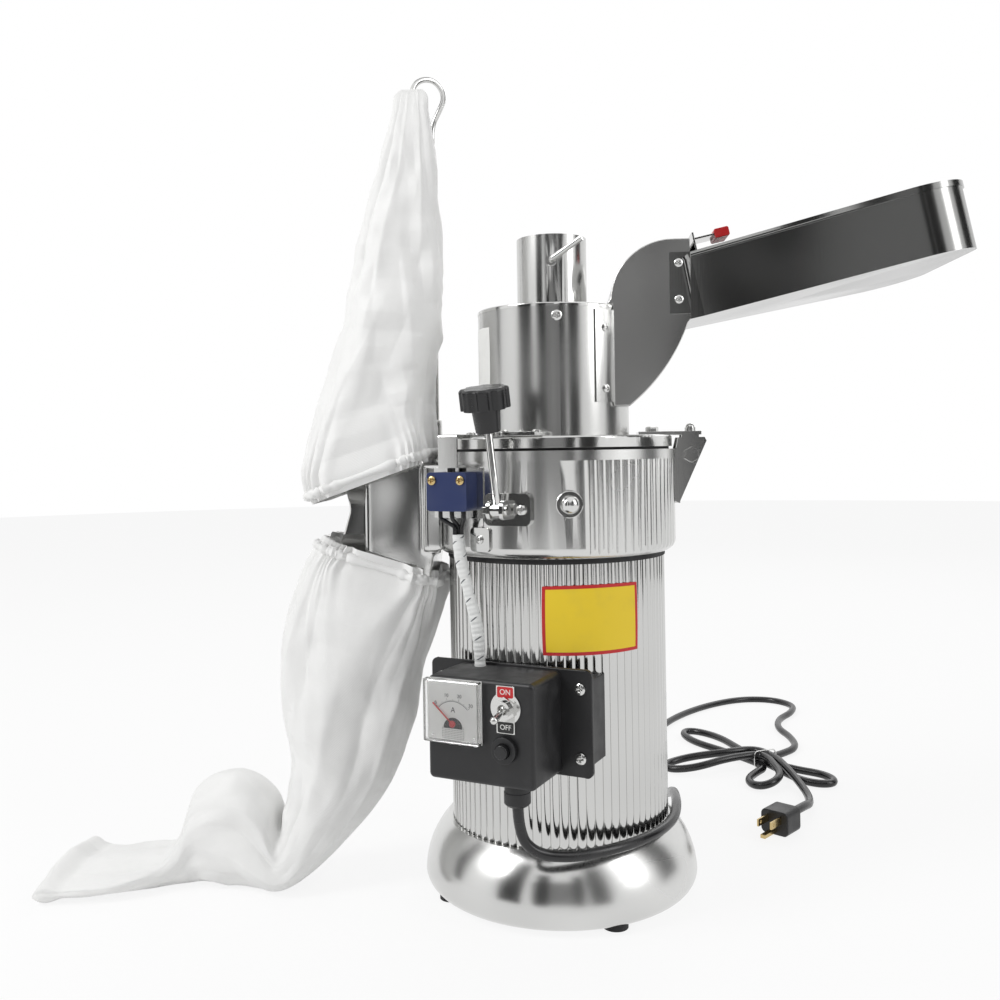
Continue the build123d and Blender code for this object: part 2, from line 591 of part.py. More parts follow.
for z in (MOUTH_Z + 15.0, MOUTH_Z + 43.5):
    for side in (-1, 1):
        near = (TRAY_SCREW_X, side * (ELBOW_HALF - 10), z)
        far = (TRAY_SCREW_X, side * (ELBOW_HALF + 10), z)
        hole = rod(near, far, TRAY_SCREW_R + SCREW_FIT)
        tray = tray - hole
        elbow = elbow - hole
        seat = (TRAY_SCREW_X, side * (ELBOW_HALF + SHEET), z)
        lid_screws.append(screw_at(pan_screw(TRAY_SCREW_R, 4.0, 3.3, 1.9), seat, (0, side, 0)))
nodes["feed_elbow"] = elbow

# Slide gate at the tray mouth, between two welded guide rails, with a grip
GATE_HALF = ELBOW_HALF - 1.5
GATE_TOP = TRAY_H + GATE_RISE
guide = block(GATE_X - 3.0, GATE_X + GATE_T + 3.0, GATE_HALF - 4.0, GATE_HALF + 8, SHEET, TRAY_H - 5)
SLOT_X = (GATE_X - RUN_FIT, GATE_X + GATE_T + RUN_FIT)
guide_slot = block(*SLOT_X, GATE_HALF - 6, GATE_HALF + 0.1, -5, TRAY_H + 9)
guide = (guide - guide_slot) & extrude(tray_plan(SHEET / 2, 0, TRAY_L), amount=TRAY_H)
nodes["feed_hopper"] = joined([tray] + both_sides(in_tray(guide)))
GRIP_HALF = 13.0
gate = block(GATE_X, GATE_X + GATE_T, -GATE_HALF, GATE_HALF, SHEET + 0.3, GATE_TOP)
lip = block(GATE_X, GATE_X + 24, -GRIP_HALF + 1, GRIP_HALF - 1, GATE_TOP - GATE_T, GATE_TOP)
nodes["hopper_gate"] = in_tray(gate + lip)
grip = block(GATE_X + 22, GATE_X + 34, -GRIP_HALF, GRIP_HALF, GATE_TOP - 4.5, GATE_TOP + 3)
nodes["gate_grip"] = in_tray(fillet(grip.edges().filter_by(Axis.Y), 1.5) - lip)


# Split discharge chute, cast in one piece with a collar and a hanger boss
def at_chute(out, up):
    return (-CHAMBER_R - out, CHAMBER_Z + up)


chute_out = [(-7.5, -0.5), (-0.5, -0.5), (4.5, -30), (86.5, -7), (78.5, 14), (70.5, 35)]
chute_out += [(74.5, 51), (81.5, 72), (13.5, 95), (6, 70), (-7.5, 70)]
chute_in = [(-37.5, 16), (1.5, 5), (9.5, -35), (83.5, -15), (73.5, 16), (65.5, 35)]
chute_in += [(70, 49), (78.5, 79), (15.5, 101), (8.5, 65), (0.5, 61), (-37.5, 61)]
chute = flat_xz([at_chute(*p) for p in chute_out], -CHUTE_HALF, CHUTE_HALF)


def end_bevel(start, stop, half, tip):
    points = [(start, -half), (stop + 14, -half), (stop + 14, -tip), (stop, -tip)]
    face = make_face(Polyline(*[(-CHAMBER_R - x, y, CHAMBER_Z - 60) for x, y in points], close=True))
    return both_sides(extrude(face, amount=200, dir=(0, 0, 1)))


chute = cut(chute, end_bevel(52.5, 78.5, CHUTE_HALF + 1, 8.0))
passage = flat_xz([at_chute(*p) for p in chute_in], -CHUTE_HALF + CHUTE_WALL, CHUTE_HALF - CHUTE_WALL)
passage = cut(passage, end_bevel(48.5, 70.5, CHUTE_HALF, 6.0))
throat = block(-CHAMBER_R - 0.5, -50, OUTLET_HALF, OUTLET_HALF + 10, CHAMBER_Z - 60, CHAMBER_TOP + 40)
passage = cut(passage, both_sides(throat))
SOCKET_X = -CHAMBER_R - 5.5
SOCKET_Y = CHUTE_HALF + 10.0
BOSS_Z = FLANGE_Z - 2.5
collar = block(-CHAMBER_R - 6.5, -70, -CHUTE_HALF - 5, CHUTE_HALF + 5, CHAMBER_Z + 3, BOSS_Z)
boss_arm = block(SOCKET_X - 6, -70, CHUTE_HALF + 2, SOCKET_Y + 7, BOSS_Z - 6, BOSS_Z)
chute = chute + collar + boss_arm + cyl(SOCKET_R, BOSS_Z - 1, BOSS_Z + SOCKET_H, SOCKET_X, SOCKET_Y)
chute_solid = chute
chute = chute - passage - cyl(CHAMBER_R, CHAMBER_Z - 60, FLANGE_Z)
chute = chute - cyl(FLANGE_R, FLANGE_Z - 0.001, CHAMBER_TOP + 8)
ROD_Z = BOSS_Z - 3.0
chute = chute - cyl(ROD_R + PRESS_FIT, ROD_Z, BOSS_Z + SOCKET_H + 1, SOCKET_X, SOCKET_Y)
nodes["discharge_chute"] = chute

# Hanger rod, bent over at the top into an open hook
HOOK_Z = ROD_Z + ROD_H
hook_turns = [(0, 0, 0), (13, -6, 14), (10, -16, 33), (-11, -30, 30), (-14, -33, 8)]
hook_path = [(SOCKET_X, SOCKET_Y, ROD_Z)]
hook_path += [(SOCKET_X + x, SOCKET_Y + y, HOOK_Z + z) for x, y, z in hook_turns]
nodes["hanger_rod"] = swept(hook_path, 7.0, ROD_R)


# Bags, closed cloth forms that end in a mouth over the chute
def bag_section(out, y, z, along, half_w, half_d):
    plane = Plane(origin=(-CHAMBER_R - out, y, z), x_dir=(0, 1, 0), z_dir=along)
    return plane * RectangleRounded(2 * half_d, 2 * half_w, min(half_w, half_d) * 0.6)


upper_bag = loft([
    bag_section(51.5, 0, CHAMBER_Z + 57, (-0.33, 0, 0.944), 50, CHUTE_HALF + 4.3),
    bag_section(54.5, 0, CHAMBER_Z + 75, (-0.32, 0, 0.947), 53, CHUTE_HALF + 4.5),
    bag_section(54, 0, CHAMBER_Z + 95, (-0.28, 0, 0.95), 51.5, CHUTE_HALF + 4.5),
    bag_section(47.5, -3, CHAMBER_Z + 139, (-0.05, 0, 1), 46, 38),
    bag_section(35.5, -5, CHAMBER_Z + 189, (0.1, 0, 1), 44, 34),
    bag_section(27, -8, CHAMBER_Z + 249, (0.12, 0, 1), 37, 27),
    bag_section(19.5, -7, CHAMBER_Z + 309, (0.1, 0, 1), 25.5, 18),
    bag_section(17.5, -1, CHAMBER_Z + 367, (0.05, 0, 1), 14, 9),
    bag_section(18.5, 3.9, CHAMBER_Z + 385, (0, 0, 1), 9, 6.2),
])
nodes["upper_bag"] = upper_bag - chute_solid
lower_bag = loft([
    bag_section(41.5, 0, CHAMBER_Z - 10, (-0.26, 0, -0.966), 45, CHUTE_HALF + 4.5),
    bag_section(45, 0, CHAMBER_Z - 21, (-0.26, 0, -0.966), 48, CHUTE_HALF + 4.8),
    bag_section(54, 0, CHAMBER_Z - 43, (-0.24, 0, -0.97), 55, CHUTE_HALF + 4.5),
    bag_section(69, 0, CHAMBER_Z - 81, (-0.18, 0, -0.98), 60, 40),
    bag_section(78, -1, CHAMBER_Z - 131, (-0.1, 0, -0.99), 56, 38),
    bag_section(88, -3, 84, (-0.35, 0, -0.94), 42, 38),
    bag_section(106, -6, 46, (-0.65, 0, -0.76), 26, 39),
    bag_section(130, -9, 21, (-1, 0, -0.1), 20, 40),
    bag_section(152, -11, 34, (-1, 0, 0.1), 33, 36),
    bag_section(178, -13, 40, (-1, 0, 0), 39, 30),
    bag_section(202, -14, 33, (-1, 0, 0), 32, 25),
    bag_section(222, -14, 18, (-1, 0, 0), 17, 29),
    bag_section(245, -14, 12, (-1, 0, 0), 11.5, 40),
    bag_section(270, -14, 10, (-1, 0, 0), 9.5, 47),
    bag_section(295, -14, 9, (-1, 0, 0), 8.5, 51),
    bag_section(320, -14, 8, (-1, 0, 0), 7.5, 53),
])
nodes["lower_bag"] = lower_bag - block(-600, 0, -300, 300, -100, 0.0) - chute_solid

# Lid hinge, a two-cheek bracket on the chamber and a leaf on the lid
PIN_X = CHAMBER_R + PIN_OUT
PIN_Z = CHAMBER_TOP - PIN_DROP
CHEEK_OUT = CHEEK_IN + CHEEK_T
PAD_X = CHAMBER_R + 3.5
cheek = [(-14, -37), (-10, -39), (12.5, 11), (11, 14), (-10, 14), (-14, -3)]
cheek = flat_xz([(PIN_X + x, PIN_Z + z) for x, z in cheek], CHEEK_IN, CHEEK_OUT)
pad = block(CHAMBER_R - 7.5, PAD_X, -CHEEK_IN - 0.5, CHEEK_IN + 0.5, PIN_Z - 39, PIN_Z - 7)
bracket = joined([pad] + both_sides(cheek)) - cyl(CHAMBER_R, CHAMBER_Z, FLANGE_Z)
bracket = bracket - cyl(FLANGE_R, FLANGE_Z, LID_TOP + 7)
bracket = bracket - rod((PIN_X, -40, PIN_Z), (PIN_X, 40, PIN_Z), PIN_R + PRESS_FIT)
HINGE_SCREW_R = 2.0
for z in (PIN_Z - 31, PIN_Z - 15):
    hole = rod((CHAMBER_R - 9.5, 0, z), (CHAMBER_R + 12, 0, z), HINGE_SCREW_R + SCREW_FIT)
    bracket = bracket - hole
    chamber = chamber - hole
    body_screws.append(screw_at(pan_screw(HINGE_SCREW_R, 11.5, 3.6, 2.2), (PAD_X, 0, z), (1, 0, 0)))
nodes["hinge_bracket"] = bracket
pin = rod((PIN_X, -CHEEK_OUT, PIN_Z), (PIN_X, CHEEK_OUT + 6, PIN_Z), PIN_R)
pin_hex = RegularPolygon(PIN_R + 3, 6)
pin_head = Plane(origin=(PIN_X, -CHEEK_OUT, PIN_Z), z_dir=(0, -1, 0)) * extrude(pin_hex, amount=4.5)
pin_nut = Plane(origin=(PIN_X, CHEEK_OUT, PIN_Z), z_dir=(0, 1, 0)) * extrude(pin_hex, amount=5.0)
hinge_pin = pin + pin_head + pin_nut
LEAF_TOP = LID_TOP + LEAF_T
LEAF_HALF = CHEEK_IN - 0.5
LEAF_IN = NECK_R + LEAF_GAP
leaf = block(LEAF_IN, LID_R, -15, 15, LID_TOP, LEAF_TOP)
leaf = leaf + block(LID_R - 6, PIN_X + 9, -LEAF_HALF, LEAF_HALF, LID_TOP, LEAF_TOP)
ear = [(-7, LID_TOP + 1 - PIN_Z), (-7, -2), (-4, -6.5), (4, -6.5), (7, -2), (7, LID_TOP + 1 - PIN_Z)]
ear = flat_xz([(PIN_X + x, PIN_Z + z) for x, z in ear], LEAF_HALF - 3.0, LEAF_HALF)
leaf = joined([leaf] + both_sides(ear)) - rod((PIN_X, -40, PIN_Z), (PIN_X, 40, PIN_Z), PIN_R + RUN_FIT)
LEAF_BOLT_R = 2.5
LEAF_BOLT_X = LEAF_IN + 0.6 * (LID_R - HINGE_CUT - LEAF_IN)
leaf_bolt = Pos(0, 0, LEAF_TOP) * extrude(RegularPolygon(4.6, 6), amount=4.0)
leaf_bolt = leaf_bolt + cyl(LEAF_BOLT_R, LID_TOP - 6, LEAF_TOP)
for side in (-1, 1):
    hole = cyl(LEAF_BOLT_R + SCREW_FIT, LID_TOP - 7.5, LEAF_TOP + 1, LEAF_BOLT_X, side * 8.0)
    leaf = leaf - hole
    lid = lid - hole
    lid_screws.append(Pos(LEAF_BOLT_X, side * 8.0, 0) * leaf_bolt)
STUD_X = PIN_X + 1.0
STUD_R = 2.0
nodes["hinge_leaf"] = leaf - cyl(STUD_R + PRESS_FIT, LID_TOP - 8, LEAF_TOP + 4, STUD_X)
stud = cyl(STUD_R, LID_TOP - 6, LEAF_TOP, STUD_X) + cyl(4.5, LEAF_TOP, LEAF_TOP + 3, STUD_X)
stud_dome = Pos(STUD_X, 0, LEAF_TOP + 3) * Sphere(3.8) & cyl(6, LEAF_TOP + 3, LEAF_TOP + 10, STUD_X)
lid_screws.append(stud + stud_dome)

# Clamp at the front: yoke on the chamber, swing bolt, knob and a notched lug on the lid
PIVOT_OUT = CHAMBER_R + PIVOT_GAP
PIVOT_Z = LID_TOP - PIVOT_DROP
SEAT_L = PIVOT_DROP + LUG_T + SEAT_GAP
YOKE_FACE = CHAMBER_R + 3.5
EAR_IN = EYE_HALF + 0.4
EAR_OUT = EAR_IN + EAR_T
yoke = block(-14, 24, -YOKE_FACE, -CHAMBER_R + 6, PIVOT_Z - 12, PIVOT_Z + 12)
yoke = fillet(yoke.edges().filter_by(Axis.Y), 5.0)
ear = block(EAR_IN, EAR_OUT, -PIVOT_OUT - 5.5, -CHAMBER_R, PIVOT_Z - 7, PIVOT_Z + 7)
ear = fillet(ear.edges().filter_by(Axis.X).group_by(Axis.Y)[0], 5.0)
yoke = yoke + ear + mirror(ear, Plane.YZ)
pivot_bore = rod((-30, -PIVOT_OUT, PIVOT_Z), (30, -PIVOT_OUT, PIVOT_Z), CLAMP_PIN_R + PRESS_FIT)
YOKE_SCREW_X = 17.0
YOKE_SCREW_R = 2.0
yoke_in = (YOKE_SCREW_X, -CHAMBER_R + 9.5, PIVOT_Z)
yoke_hole = rod((YOKE_SCREW_X, -YOKE_FACE - 9, PIVOT_Z), yoke_in, YOKE_SCREW_R + SCREW_FIT)
nodes["clamp_yoke"] = front(yoke - pivot_bore - yoke_hole - cyl(CHAMBER_R, CHAMBER_Z, FLANGE_Z))
chamber = chamber - front(yoke_hole)
yoke_seat = (YOKE_SCREW_X, -YOKE_FACE, PIVOT_Z)
yoke_screw = screw_at(pan_screw(YOKE_SCREW_R, 12.0, 3.8, 2.4), yoke_seat, (0, -1, 0))
body_screws.append(front(yoke_screw))
PIN_NUT_T = 3.5
PIN_HEAD_T = 2.4
ear_face = (EAR_OUT, -PIVOT_OUT, PIVOT_Z)
clamp_pin = rod((-EAR_OUT - PIN_NUT_T, -PIVOT_OUT, PIVOT_Z), ear_face, CLAMP_PIN_R)
clamp_pin = clamp_pin + rod(ear_face, (EAR_OUT + PIN_HEAD_T, -PIVOT_OUT, PIVOT_Z), CLAMP_PIN_R + 1.9)
nut_plane = Plane(origin=(-EAR_OUT, -PIVOT_OUT, PIVOT_Z), z_dir=(-1, 0, 0))
pin_nut = nut_plane * extrude(RegularPolygon(CLAMP_PIN_R + 2.1, 6), amount=PIN_NUT_T)
nodes["pivot_pins"] = Compound([hinge_pin, front(clamp_pin + pin_nut)])


# Clamp parts built upright over the pivot, then leaned outward to the rest position
def leaned(shape):
    return front(Pos(0, -PIVOT_OUT, PIVOT_Z) * Rot(REST_LEAN, 0, 0) * shape)


BOLT_TOP = SEAT_L + HUB_H + 6.0
bolt = cyl(BOLT_R, 4, BOLT_TOP) + rod((-EYE_HALF, 0, 0), (EYE_HALF, 0, 0), CLAMP_PIN_R + 2.7)
nodes["swing_bolt"] = leaned(bolt - rod((-9, 0, 0), (9, 0, 0), CLAMP_PIN_R + RUN_FIT))
hub = Solid.make_cone(HUB_R - 0.5, HUB_R + 1.0, HUB_H, Plane(origin=(0, 0, SEAT_L)))
head = Pos(0, 0, SEAT_L + HUB_H + HEAD_H / 2) * Cylinder(HEAD_R, HEAD_H)
head = cut(head, evenly(cyl(5.5, 0, SEAT_L + 140, HEAD_R + 3.6), 8))
head = chamfer(head.edges().group_by(Axis.Z)[-1], 1.6)
nodes["clamp_knob"] = leaned(hub + head - cyl(BOLT_R + RUN_FIT, 0, BOLT_TOP + 0.5))
LUG_END = PIVOT_OUT - 2.5
LUG_IN = NECK_R + LUG_GAP
SLOT_HALF = BOLT_R + 1.2
lug = block(-17, 30, -LUG_END, -LUG_IN, LID_TOP, LID_TOP + LUG_T)
lug = fillet(lug.edges().filter_by(Axis.Z).group_by(Axis.Y)[-1], 6.0)
lug = lug - cyl(SLOT_HALF, LID_TOP - 1, LID_TOP + LUG_T + 1, 0, -PIVOT_OUT + 3.6)
lug = lug - block(-SLOT_HALF, SLOT_HALF, -PIVOT_OUT - 9, -PIVOT_OUT + 3.6, LID_TOP - 1, LID_TOP + LUG_T + 1)
LUG_SCREW_R = 2.0
LUG_SCREW_Y = -LUG_IN - 8.0
for x in (-8.0, 20.0):
    hole = cyl(LUG_SCREW_R + SCREW_FIT, LID_TOP - 7, LID_TOP + LUG_T + 1, x, LUG_SCREW_Y)
    lug = lug - hole
    lid = lid - front(hole)
    lug_screw = Pos(x, LUG_SCREW_Y, LID_TOP + LUG_T) * pan_screw(LUG_SCREW_R, 8.0, 3.6, 2.2)
    lid_screws.append(front(lug_screw))
nodes["clamp_lug"] = front(lug)

# Lid switch on a bracket at the chamber, pressed by a strap on the lid
SWITCH_OUT = CHAMBER_R + SWITCH_GAP
SWITCH_AT = (
    SWITCH_OUT * math.cos(math.radians(SWITCH_ANGLE)),
    SWITCH_OUT * math.sin(math.radians(SWITCH_ANGLE)),
)


def at_switch(shape):
    return Pos(SWITCH_AT[0], SWITCH_AT[1], 0) * front(shape)


SWITCH_TOP = CHAMBER_TOP - 15.0
SWITCH_Z = SWITCH_TOP - SWITCH_H
SWITCH_BACK = SWITCH_D / 2
SWITCH_SCREW_R = 1.8
PLUNGER_TOP = SWITCH_TOP + 3.0
switch = block(-SWITCH_HALF, SWITCH_HALF, -SWITCH_BACK, SWITCH_BACK, SWITCH_Z, SWITCH_TOP)
switch = fillet(switch.edges().filter_by(Axis.Y), 3.0)
switch = switch - cyl(PLUNGER_R + RUN_FIT, SWITCH_TOP - 11, SWITCH_TOP + 1)
HOLDER_T = 2.5
HOLDER_Z = (SWITCH_Z - 6, SWITCH_TOP + 3)
holder = block(-SWITCH_HALF - 3, SWITCH_HALF + 5, SWITCH_BACK, SWITCH_BACK + HOLDER_T, *HOLDER_Z)
arm_half = SWITCH_HALF - 3
holder = holder + block(-arm_half, arm_half, SWITCH_BACK, SWITCH_BACK + 20, SWITCH_Z + 4, SWITCH_TOP - 5)
holder = at_switch(holder) - cyl(CHAMBER_R, CHAMBER_Z, CHAMBER_TOP)
switch_screws = []
for side in (-1, 1):
    x = side * (SWITCH_HALF - 5)
    z = SWITCH_TOP - 6
    hole = rod((x, -SWITCH_BACK - 2, z), (x, SWITCH_BACK + 5, z), SWITCH_SCREW_R + SCREW_FIT)
    switch = switch - hole
    holder = holder - at_switch(hole)
    screw = screw_at(pan_screw(SWITCH_SCREW_R, SWITCH_D + 2, 3.4, 2.0), (x, -SWITCH_BACK, z), (0, -1, 0))
    switch_screws.append(at_switch(screw))
nodes["switch_body"] = at_switch(switch)
nodes["switch_screws"] = Compound(switch_screws)
nodes["switch_plunger"] = at_switch(cyl(PLUNGER_R, SWITCH_TOP - 9, PLUNGER_TOP))
STRAP_Z = PLUNGER_TOP + 0.2
STRAP_OUT = PLUNGER_R + STRAP_T + 1.0
strap = block(-8, 8, -STRAP_OUT, 39, LID_TOP, LID_TOP + STRAP_T)
strap = strap + block(-8, 8, -STRAP_OUT, -STRAP_OUT + STRAP_T, STRAP_Z, LID_TOP + STRAP_T)
strap = strap + block(-8, 8, -STRAP_OUT, SWITCH_BACK - 1.5, STRAP_Z, STRAP_Z + STRAP_T)
strap = fillet(strap.edges().filter_by(Axis.X).group_by(Axis.Y)[0].sort_by(Axis.Z)[-1:], STRAP_T * 0.9)
strap_hole = cyl(LUG_SCREW_R + SCREW_FIT, LID_TOP - 7, LID_TOP + STRAP_T + 1, 0, 32)
nodes["switch_strap"] = at_switch(strap - strap_hole)
lid = lid - at_switch(strap_hole)
lid_screws.append(at_switch(Pos(0, 32, LID_TOP + STRAP_T) * pan_screw(LUG_SCREW_R, 8.0, 3.6, 2.2)))
nodes["lid_plate"] = lid

# Dome screw on a washer, on the front of the chamber
DOME_ANGLE = 276.5
DOME_Z = PIVOT_Z + 3.5
DOME_R = 7.0
WASHER_T = 1.5
DOME_SCREW_R = 3.0
dome_x = CHAMBER_R + WASHER_T
dome_hole = rod((CHAMBER_R - 11.5, 0, DOME_Z), (CHAMBER_R + 8, 0, DOME_Z), DOME_SCREW_R + SCREW_FIT)
chamber = chamber - spun(dome_hole, DOME_ANGLE)
washer = rod((CHAMBER_R - 1.5, 0, DOME_Z), (dome_x, 0, DOME_Z), DOME_R + 3)
washer = washer - cyl(CHAMBER_R, CHAMBER_Z, FLANGE_Z) - dome_hole
dome_screw = rod((dome_x, 0, DOME_Z), (dome_x + 2.5, 0, DOME_Z), DOME_R)
dome_top = block(dome_x + 2.5, dome_x + 20, -20, 20, DOME_Z - 20, DOME_Z + 20)
dome_screw = dome_screw + (Pos(dome_x + 2.5, 0, DOME_Z) * Sphere(DOME_R - 0.2) & dome_top)
dome_screw = dome_screw + rod((CHAMBER_R - 10.5, 0, DOME_Z), (dome_x, 0, DOME_Z), DOME_SCREW_R)
body_screws += [spun(washer, DOME_ANGLE), spun(dome_screw, DOME_ANGLE)]

# Control box at the front, its ears on ribs that follow the housing
BOX_BACK = HOUSING_R + BOX_GAP
BOX_FACE = BOX_BACK + BOX_D
BOX_Z0 = BASE_TOP + BOX_RISE
BOX_Z1 = BOX_Z0 + BOX_H
inner = BOX_HALF - BOX_WALL
box = block(-BOX_HALF, BOX_HALF, -BOX_FACE, -BOX_BACK, BOX_Z0, BOX_Z1)
box = fillet(box.edges().filter_by(Axis.Y), 4.0)
box = fillet(box.edges().group_by(Axis.Y)[0], 3.0)
ears = block(-EAR_HALF, EAR_HALF, -BOX_BACK, -BOX_BACK + 3, BOX_Z0 - 2, BOX_Z1 + 2)
ears = fillet(ears.edges().filter_by(Axis.Y), 5.0)
rib = block(BOX_HALF + 4, EAR_HALF - 2, -BOX_BACK + 3, -BOX_BACK + 42, BOX_Z0 + 6, BOX_Z1 - 6)
box = box + ears + rib + mirror(rib, Plane.YZ)
box = box - block(-inner, inner, -BOX_FACE + BOX_WALL, -BOX_BACK + 12, BOX_Z0 + BOX_WALL, BOX_Z1 - BOX_WALL)
box = box - cyl(HOUSING_R, BOX_Z0 - 18, BOX_Z1 + 18)
BOX_SCREW_R = 2.0
for x in (-EAR_HALF + 9, EAR_HALF - 9):
    for z in (BOX_Z0 + 12, BOX_Z1 - 12):
        hole = rod((x, -BOX_BACK - 8, z), (x, -BOX_BACK + 17, z), BOX_SCREW_R + SCREW_FIT)
        box = box - hole
        box_screw = screw_at(pan_screw(BOX_SCREW_R, 13.0, 4.2, 2.4), (x, -BOX_BACK, z), (0, -1, 0))
        body_screws.append(front(box_screw))

# Ammeter with a dial card, a needle and a clear window
AM_X = -BOX_HALF + AM_HALF - 0.3
AM_Z = BOX_Z1 - AM_HALF - 1.2
AM_BODY = AM_HALF - 8.3
AM_IN = AM_HALF - 1.6
NEEDLE_Z = AM_Z - 9.0
NEEDLE_R = 1.5


def meter_block(half, y0, y1):
    return block(AM_X - half, AM_X + half, -BOX_FACE + y0, -BOX_FACE + y1, AM_Z - half, AM_Z + half)


def face_rod(x, z, y0, y1, r):
    return rod((x, -BOX_FACE + y0, z), (x, -BOX_FACE + y1, z), r)


am_case = meter_block(AM_BODY + 3, BOX_WALL, 24) + meter_block(AM_BODY, 0, 12) + meter_block(AM_HALF, -1, 0)
am_case = am_case - face_rod(AM_X, NEEDLE_Z, -10, 6, NEEDLE_R)
dial = meter_block(AM_IN, -1.5, -1.0) - face_rod(AM_X, NEEDLE_Z, -10, 10, NEEDLE_R + 0.3)
nodes["ammeter_case"] = Compound([front(am_case), front(dial)])
box = box - meter_block(AM_BODY, -1, BOX_WALL + 1)
needle = rod((0, -3.4, 0), (0, 5.5, 0), NEEDLE_R - RUN_FIT) + block(-0.45, 0.45, -3.3, -2.7, 0, AM_HALF - 1.3)
needle = needle + rod((0, -3.4, 0), (0, -2.4, 0), NEEDLE_R + 0.9)
nodes["ammeter_needle"] = front(Pos(AM_X, -BOX_FACE, NEEDLE_Z) * Rot(0, -NEEDLE_REST, 0) * needle)
window = meter_block(AM_HALF, -AM_T, -1.0)
window = fillet(window.edges().filter_by(Axis.Y), 1.2) - meter_block(AM_IN, -AM_T + 1.4, 0)
nodes["ammeter_window"] = front(window)

# Toggle switch with its plate, bush, nut and lever
TOGGLE_X = BOX_HALF - 21.0
TOGGLE_Z = BOX_Z1 - 18.0
BUSH_OUT = 6.5
TOGGLE_PIVOT = -2.0
bush_hole = face_rod(TOGGLE_X, TOGGLE_Z, -10, 10, TOGGLE_BUSH_R + SCREW_FIT)
box = box - bush_hole
legend = block(TOGGLE_X - 7, TOGGLE_X + 7, -BOX_FACE - 1.0, -BOX_FACE, TOGGLE_Z - 17.5, TOGGLE_Z + 15.5)
legend = legend + face_rod(TOGGLE_X, TOGGLE_Z, -1.0, 0, TOGGLE_BUSH_R + 5.7)
legend = legend - bush_hole
nut_plane = Plane(origin=(TOGGLE_X, -BOX_FACE - 1.0, TOGGLE_Z), z_dir=(0, -1, 0))
bush = face_rod(TOGGLE_X, TOGGLE_Z, -BUSH_OUT, BOX_WALL, TOGGLE_BUSH_R)
bush = bush + nut_plane * extrude(RegularPolygon(TOGGLE_BUSH_R + 2.8, 6), amount=2.6)
BACK_Y = (-BOX_FACE + BOX_WALL, -BOX_FACE + 22)
switch_back = block(TOGGLE_X - 8, TOGGLE_X + 8, *BACK_Y, TOGGLE_Z - 10, TOGGLE_Z + 10)
pivot_plane = Plane(origin=(TOGGLE_X, -BOX_FACE + TOGGLE_PIVOT, TOGGLE_Z), z_dir=(0, -1, 0))
ball_seat = pivot_plane * Sphere(TOGGLE_BALL_R + RUN_FIT)
mouth = pivot_plane * Solid.make_cone(TOGGLE_BALL_R - 1.0, TOGGLE_BALL_R + 1.0, 8.0)
PIN_REACH = TOGGLE_BUSH_R - 1.0
pin_seat = rod((-PIN_REACH, 0, 0), (PIN_REACH, 0, 0), TOGGLE_PIN_R + RUN_FIT)
pin_seat = Pos(TOGGLE_X, -BOX_FACE + TOGGLE_PIVOT, TOGGLE_Z) * pin_seat
nodes["toggle_bush"] = Compound([front(bush + switch_back - ball_seat - mouth - pin_seat), front(legend)])
arm = Sphere(TOGGLE_BALL_R) + Pos(0, 0, 2.0) * Solid.make_cone(1.7, 2.4, 15.0)
arm = arm + Pos(0, 0, 17.0) * Sphere(2.75)
arm = arm + rod((-PIN_REACH + SCREW_FIT, 0, 0), (PIN_REACH - SCREW_FIT, 0, 0), TOGGLE_PIN_R)
toggle = Pos(TOGGLE_X, -BOX_FACE + TOGGLE_PIVOT, TOGGLE_Z) * Rot(90 + TOGGLE_TILT, 0, 0) * arm
nodes["toggle_lever"] = front(toggle)

# Reset button in its bush
RESET_X = BOX_HALF - 22.0
RESET_Z = BOX_Z0 + 27.0
reset_bush = face_rod(RESET_X, RESET_Z, -4.0, 0, RESET_R + 4.4)
reset_bush = reset_bush + face_rod(RESET_X, RESET_Z, 0, 14, RESET_R + 2.6)
nodes["reset_bush"] = front(reset_bush - face_rod(RESET_X, RESET_Z, -10, 8, RESET_R + RUN_FIT))
box = box - face_rod(RESET_X, RESET_Z, -10, 10, RESET_R + 2.6 + SCREW_FIT)
button = face_rod(RESET_X, RESET_Z, -8.5, 4.0, RESET_R)
nodes["reset_button"] = front(fillet(button.edges().group_by(Axis.Y)[0], 1.0))

# Cable gland under the box
GLAND_X = BOX_HALF - 22.0
GLAND_Y = -BOX_FACE + 18.0
GLAND_R = CORD_R + 2.5
GLAND_NUT_H = 10.0
NUT_TOP = BOX_Z0 - 7.0
GLAND_Z = NUT_TOP - GLAND_NUT_H
box = box - cyl(GLAND_R + SCREW_FIT, BOX_Z0 - 18, BOX_Z0 + 7, GLAND_X, GLAND_Y)
gland = cyl(GLAND_R + 2.7, NUT_TOP, BOX_Z0, GLAND_X, GLAND_Y)
gland = gland + cyl(GLAND_R, NUT_TOP - 3, BOX_Z0 + 9, GLAND_X, GLAND_Y)
gland_nut = cyl(GLAND_R + 3.1, GLAND_Z, NUT_TOP, GLAND_X, GLAND_Y)
gland_nut = chamfer(gland_nut.edges().group_by(Axis.Z)[0], 2.0)
gland_nut = gland_nut - cyl(GLAND_R, NUT_TOP - 3, NUT_TOP + 1, GLAND_X, GLAND_Y)
gland_nut = gland_nut - cyl(CORD_R + SCREW_FIT, GLAND_Z - 1, GLAND_Z + CORD_BORE, GLAND_X, GLAND_Y)
nodes["cable_gland"] = Compound([front(gland), front(gland_nut)])
nodes["control_box"] = front(box)

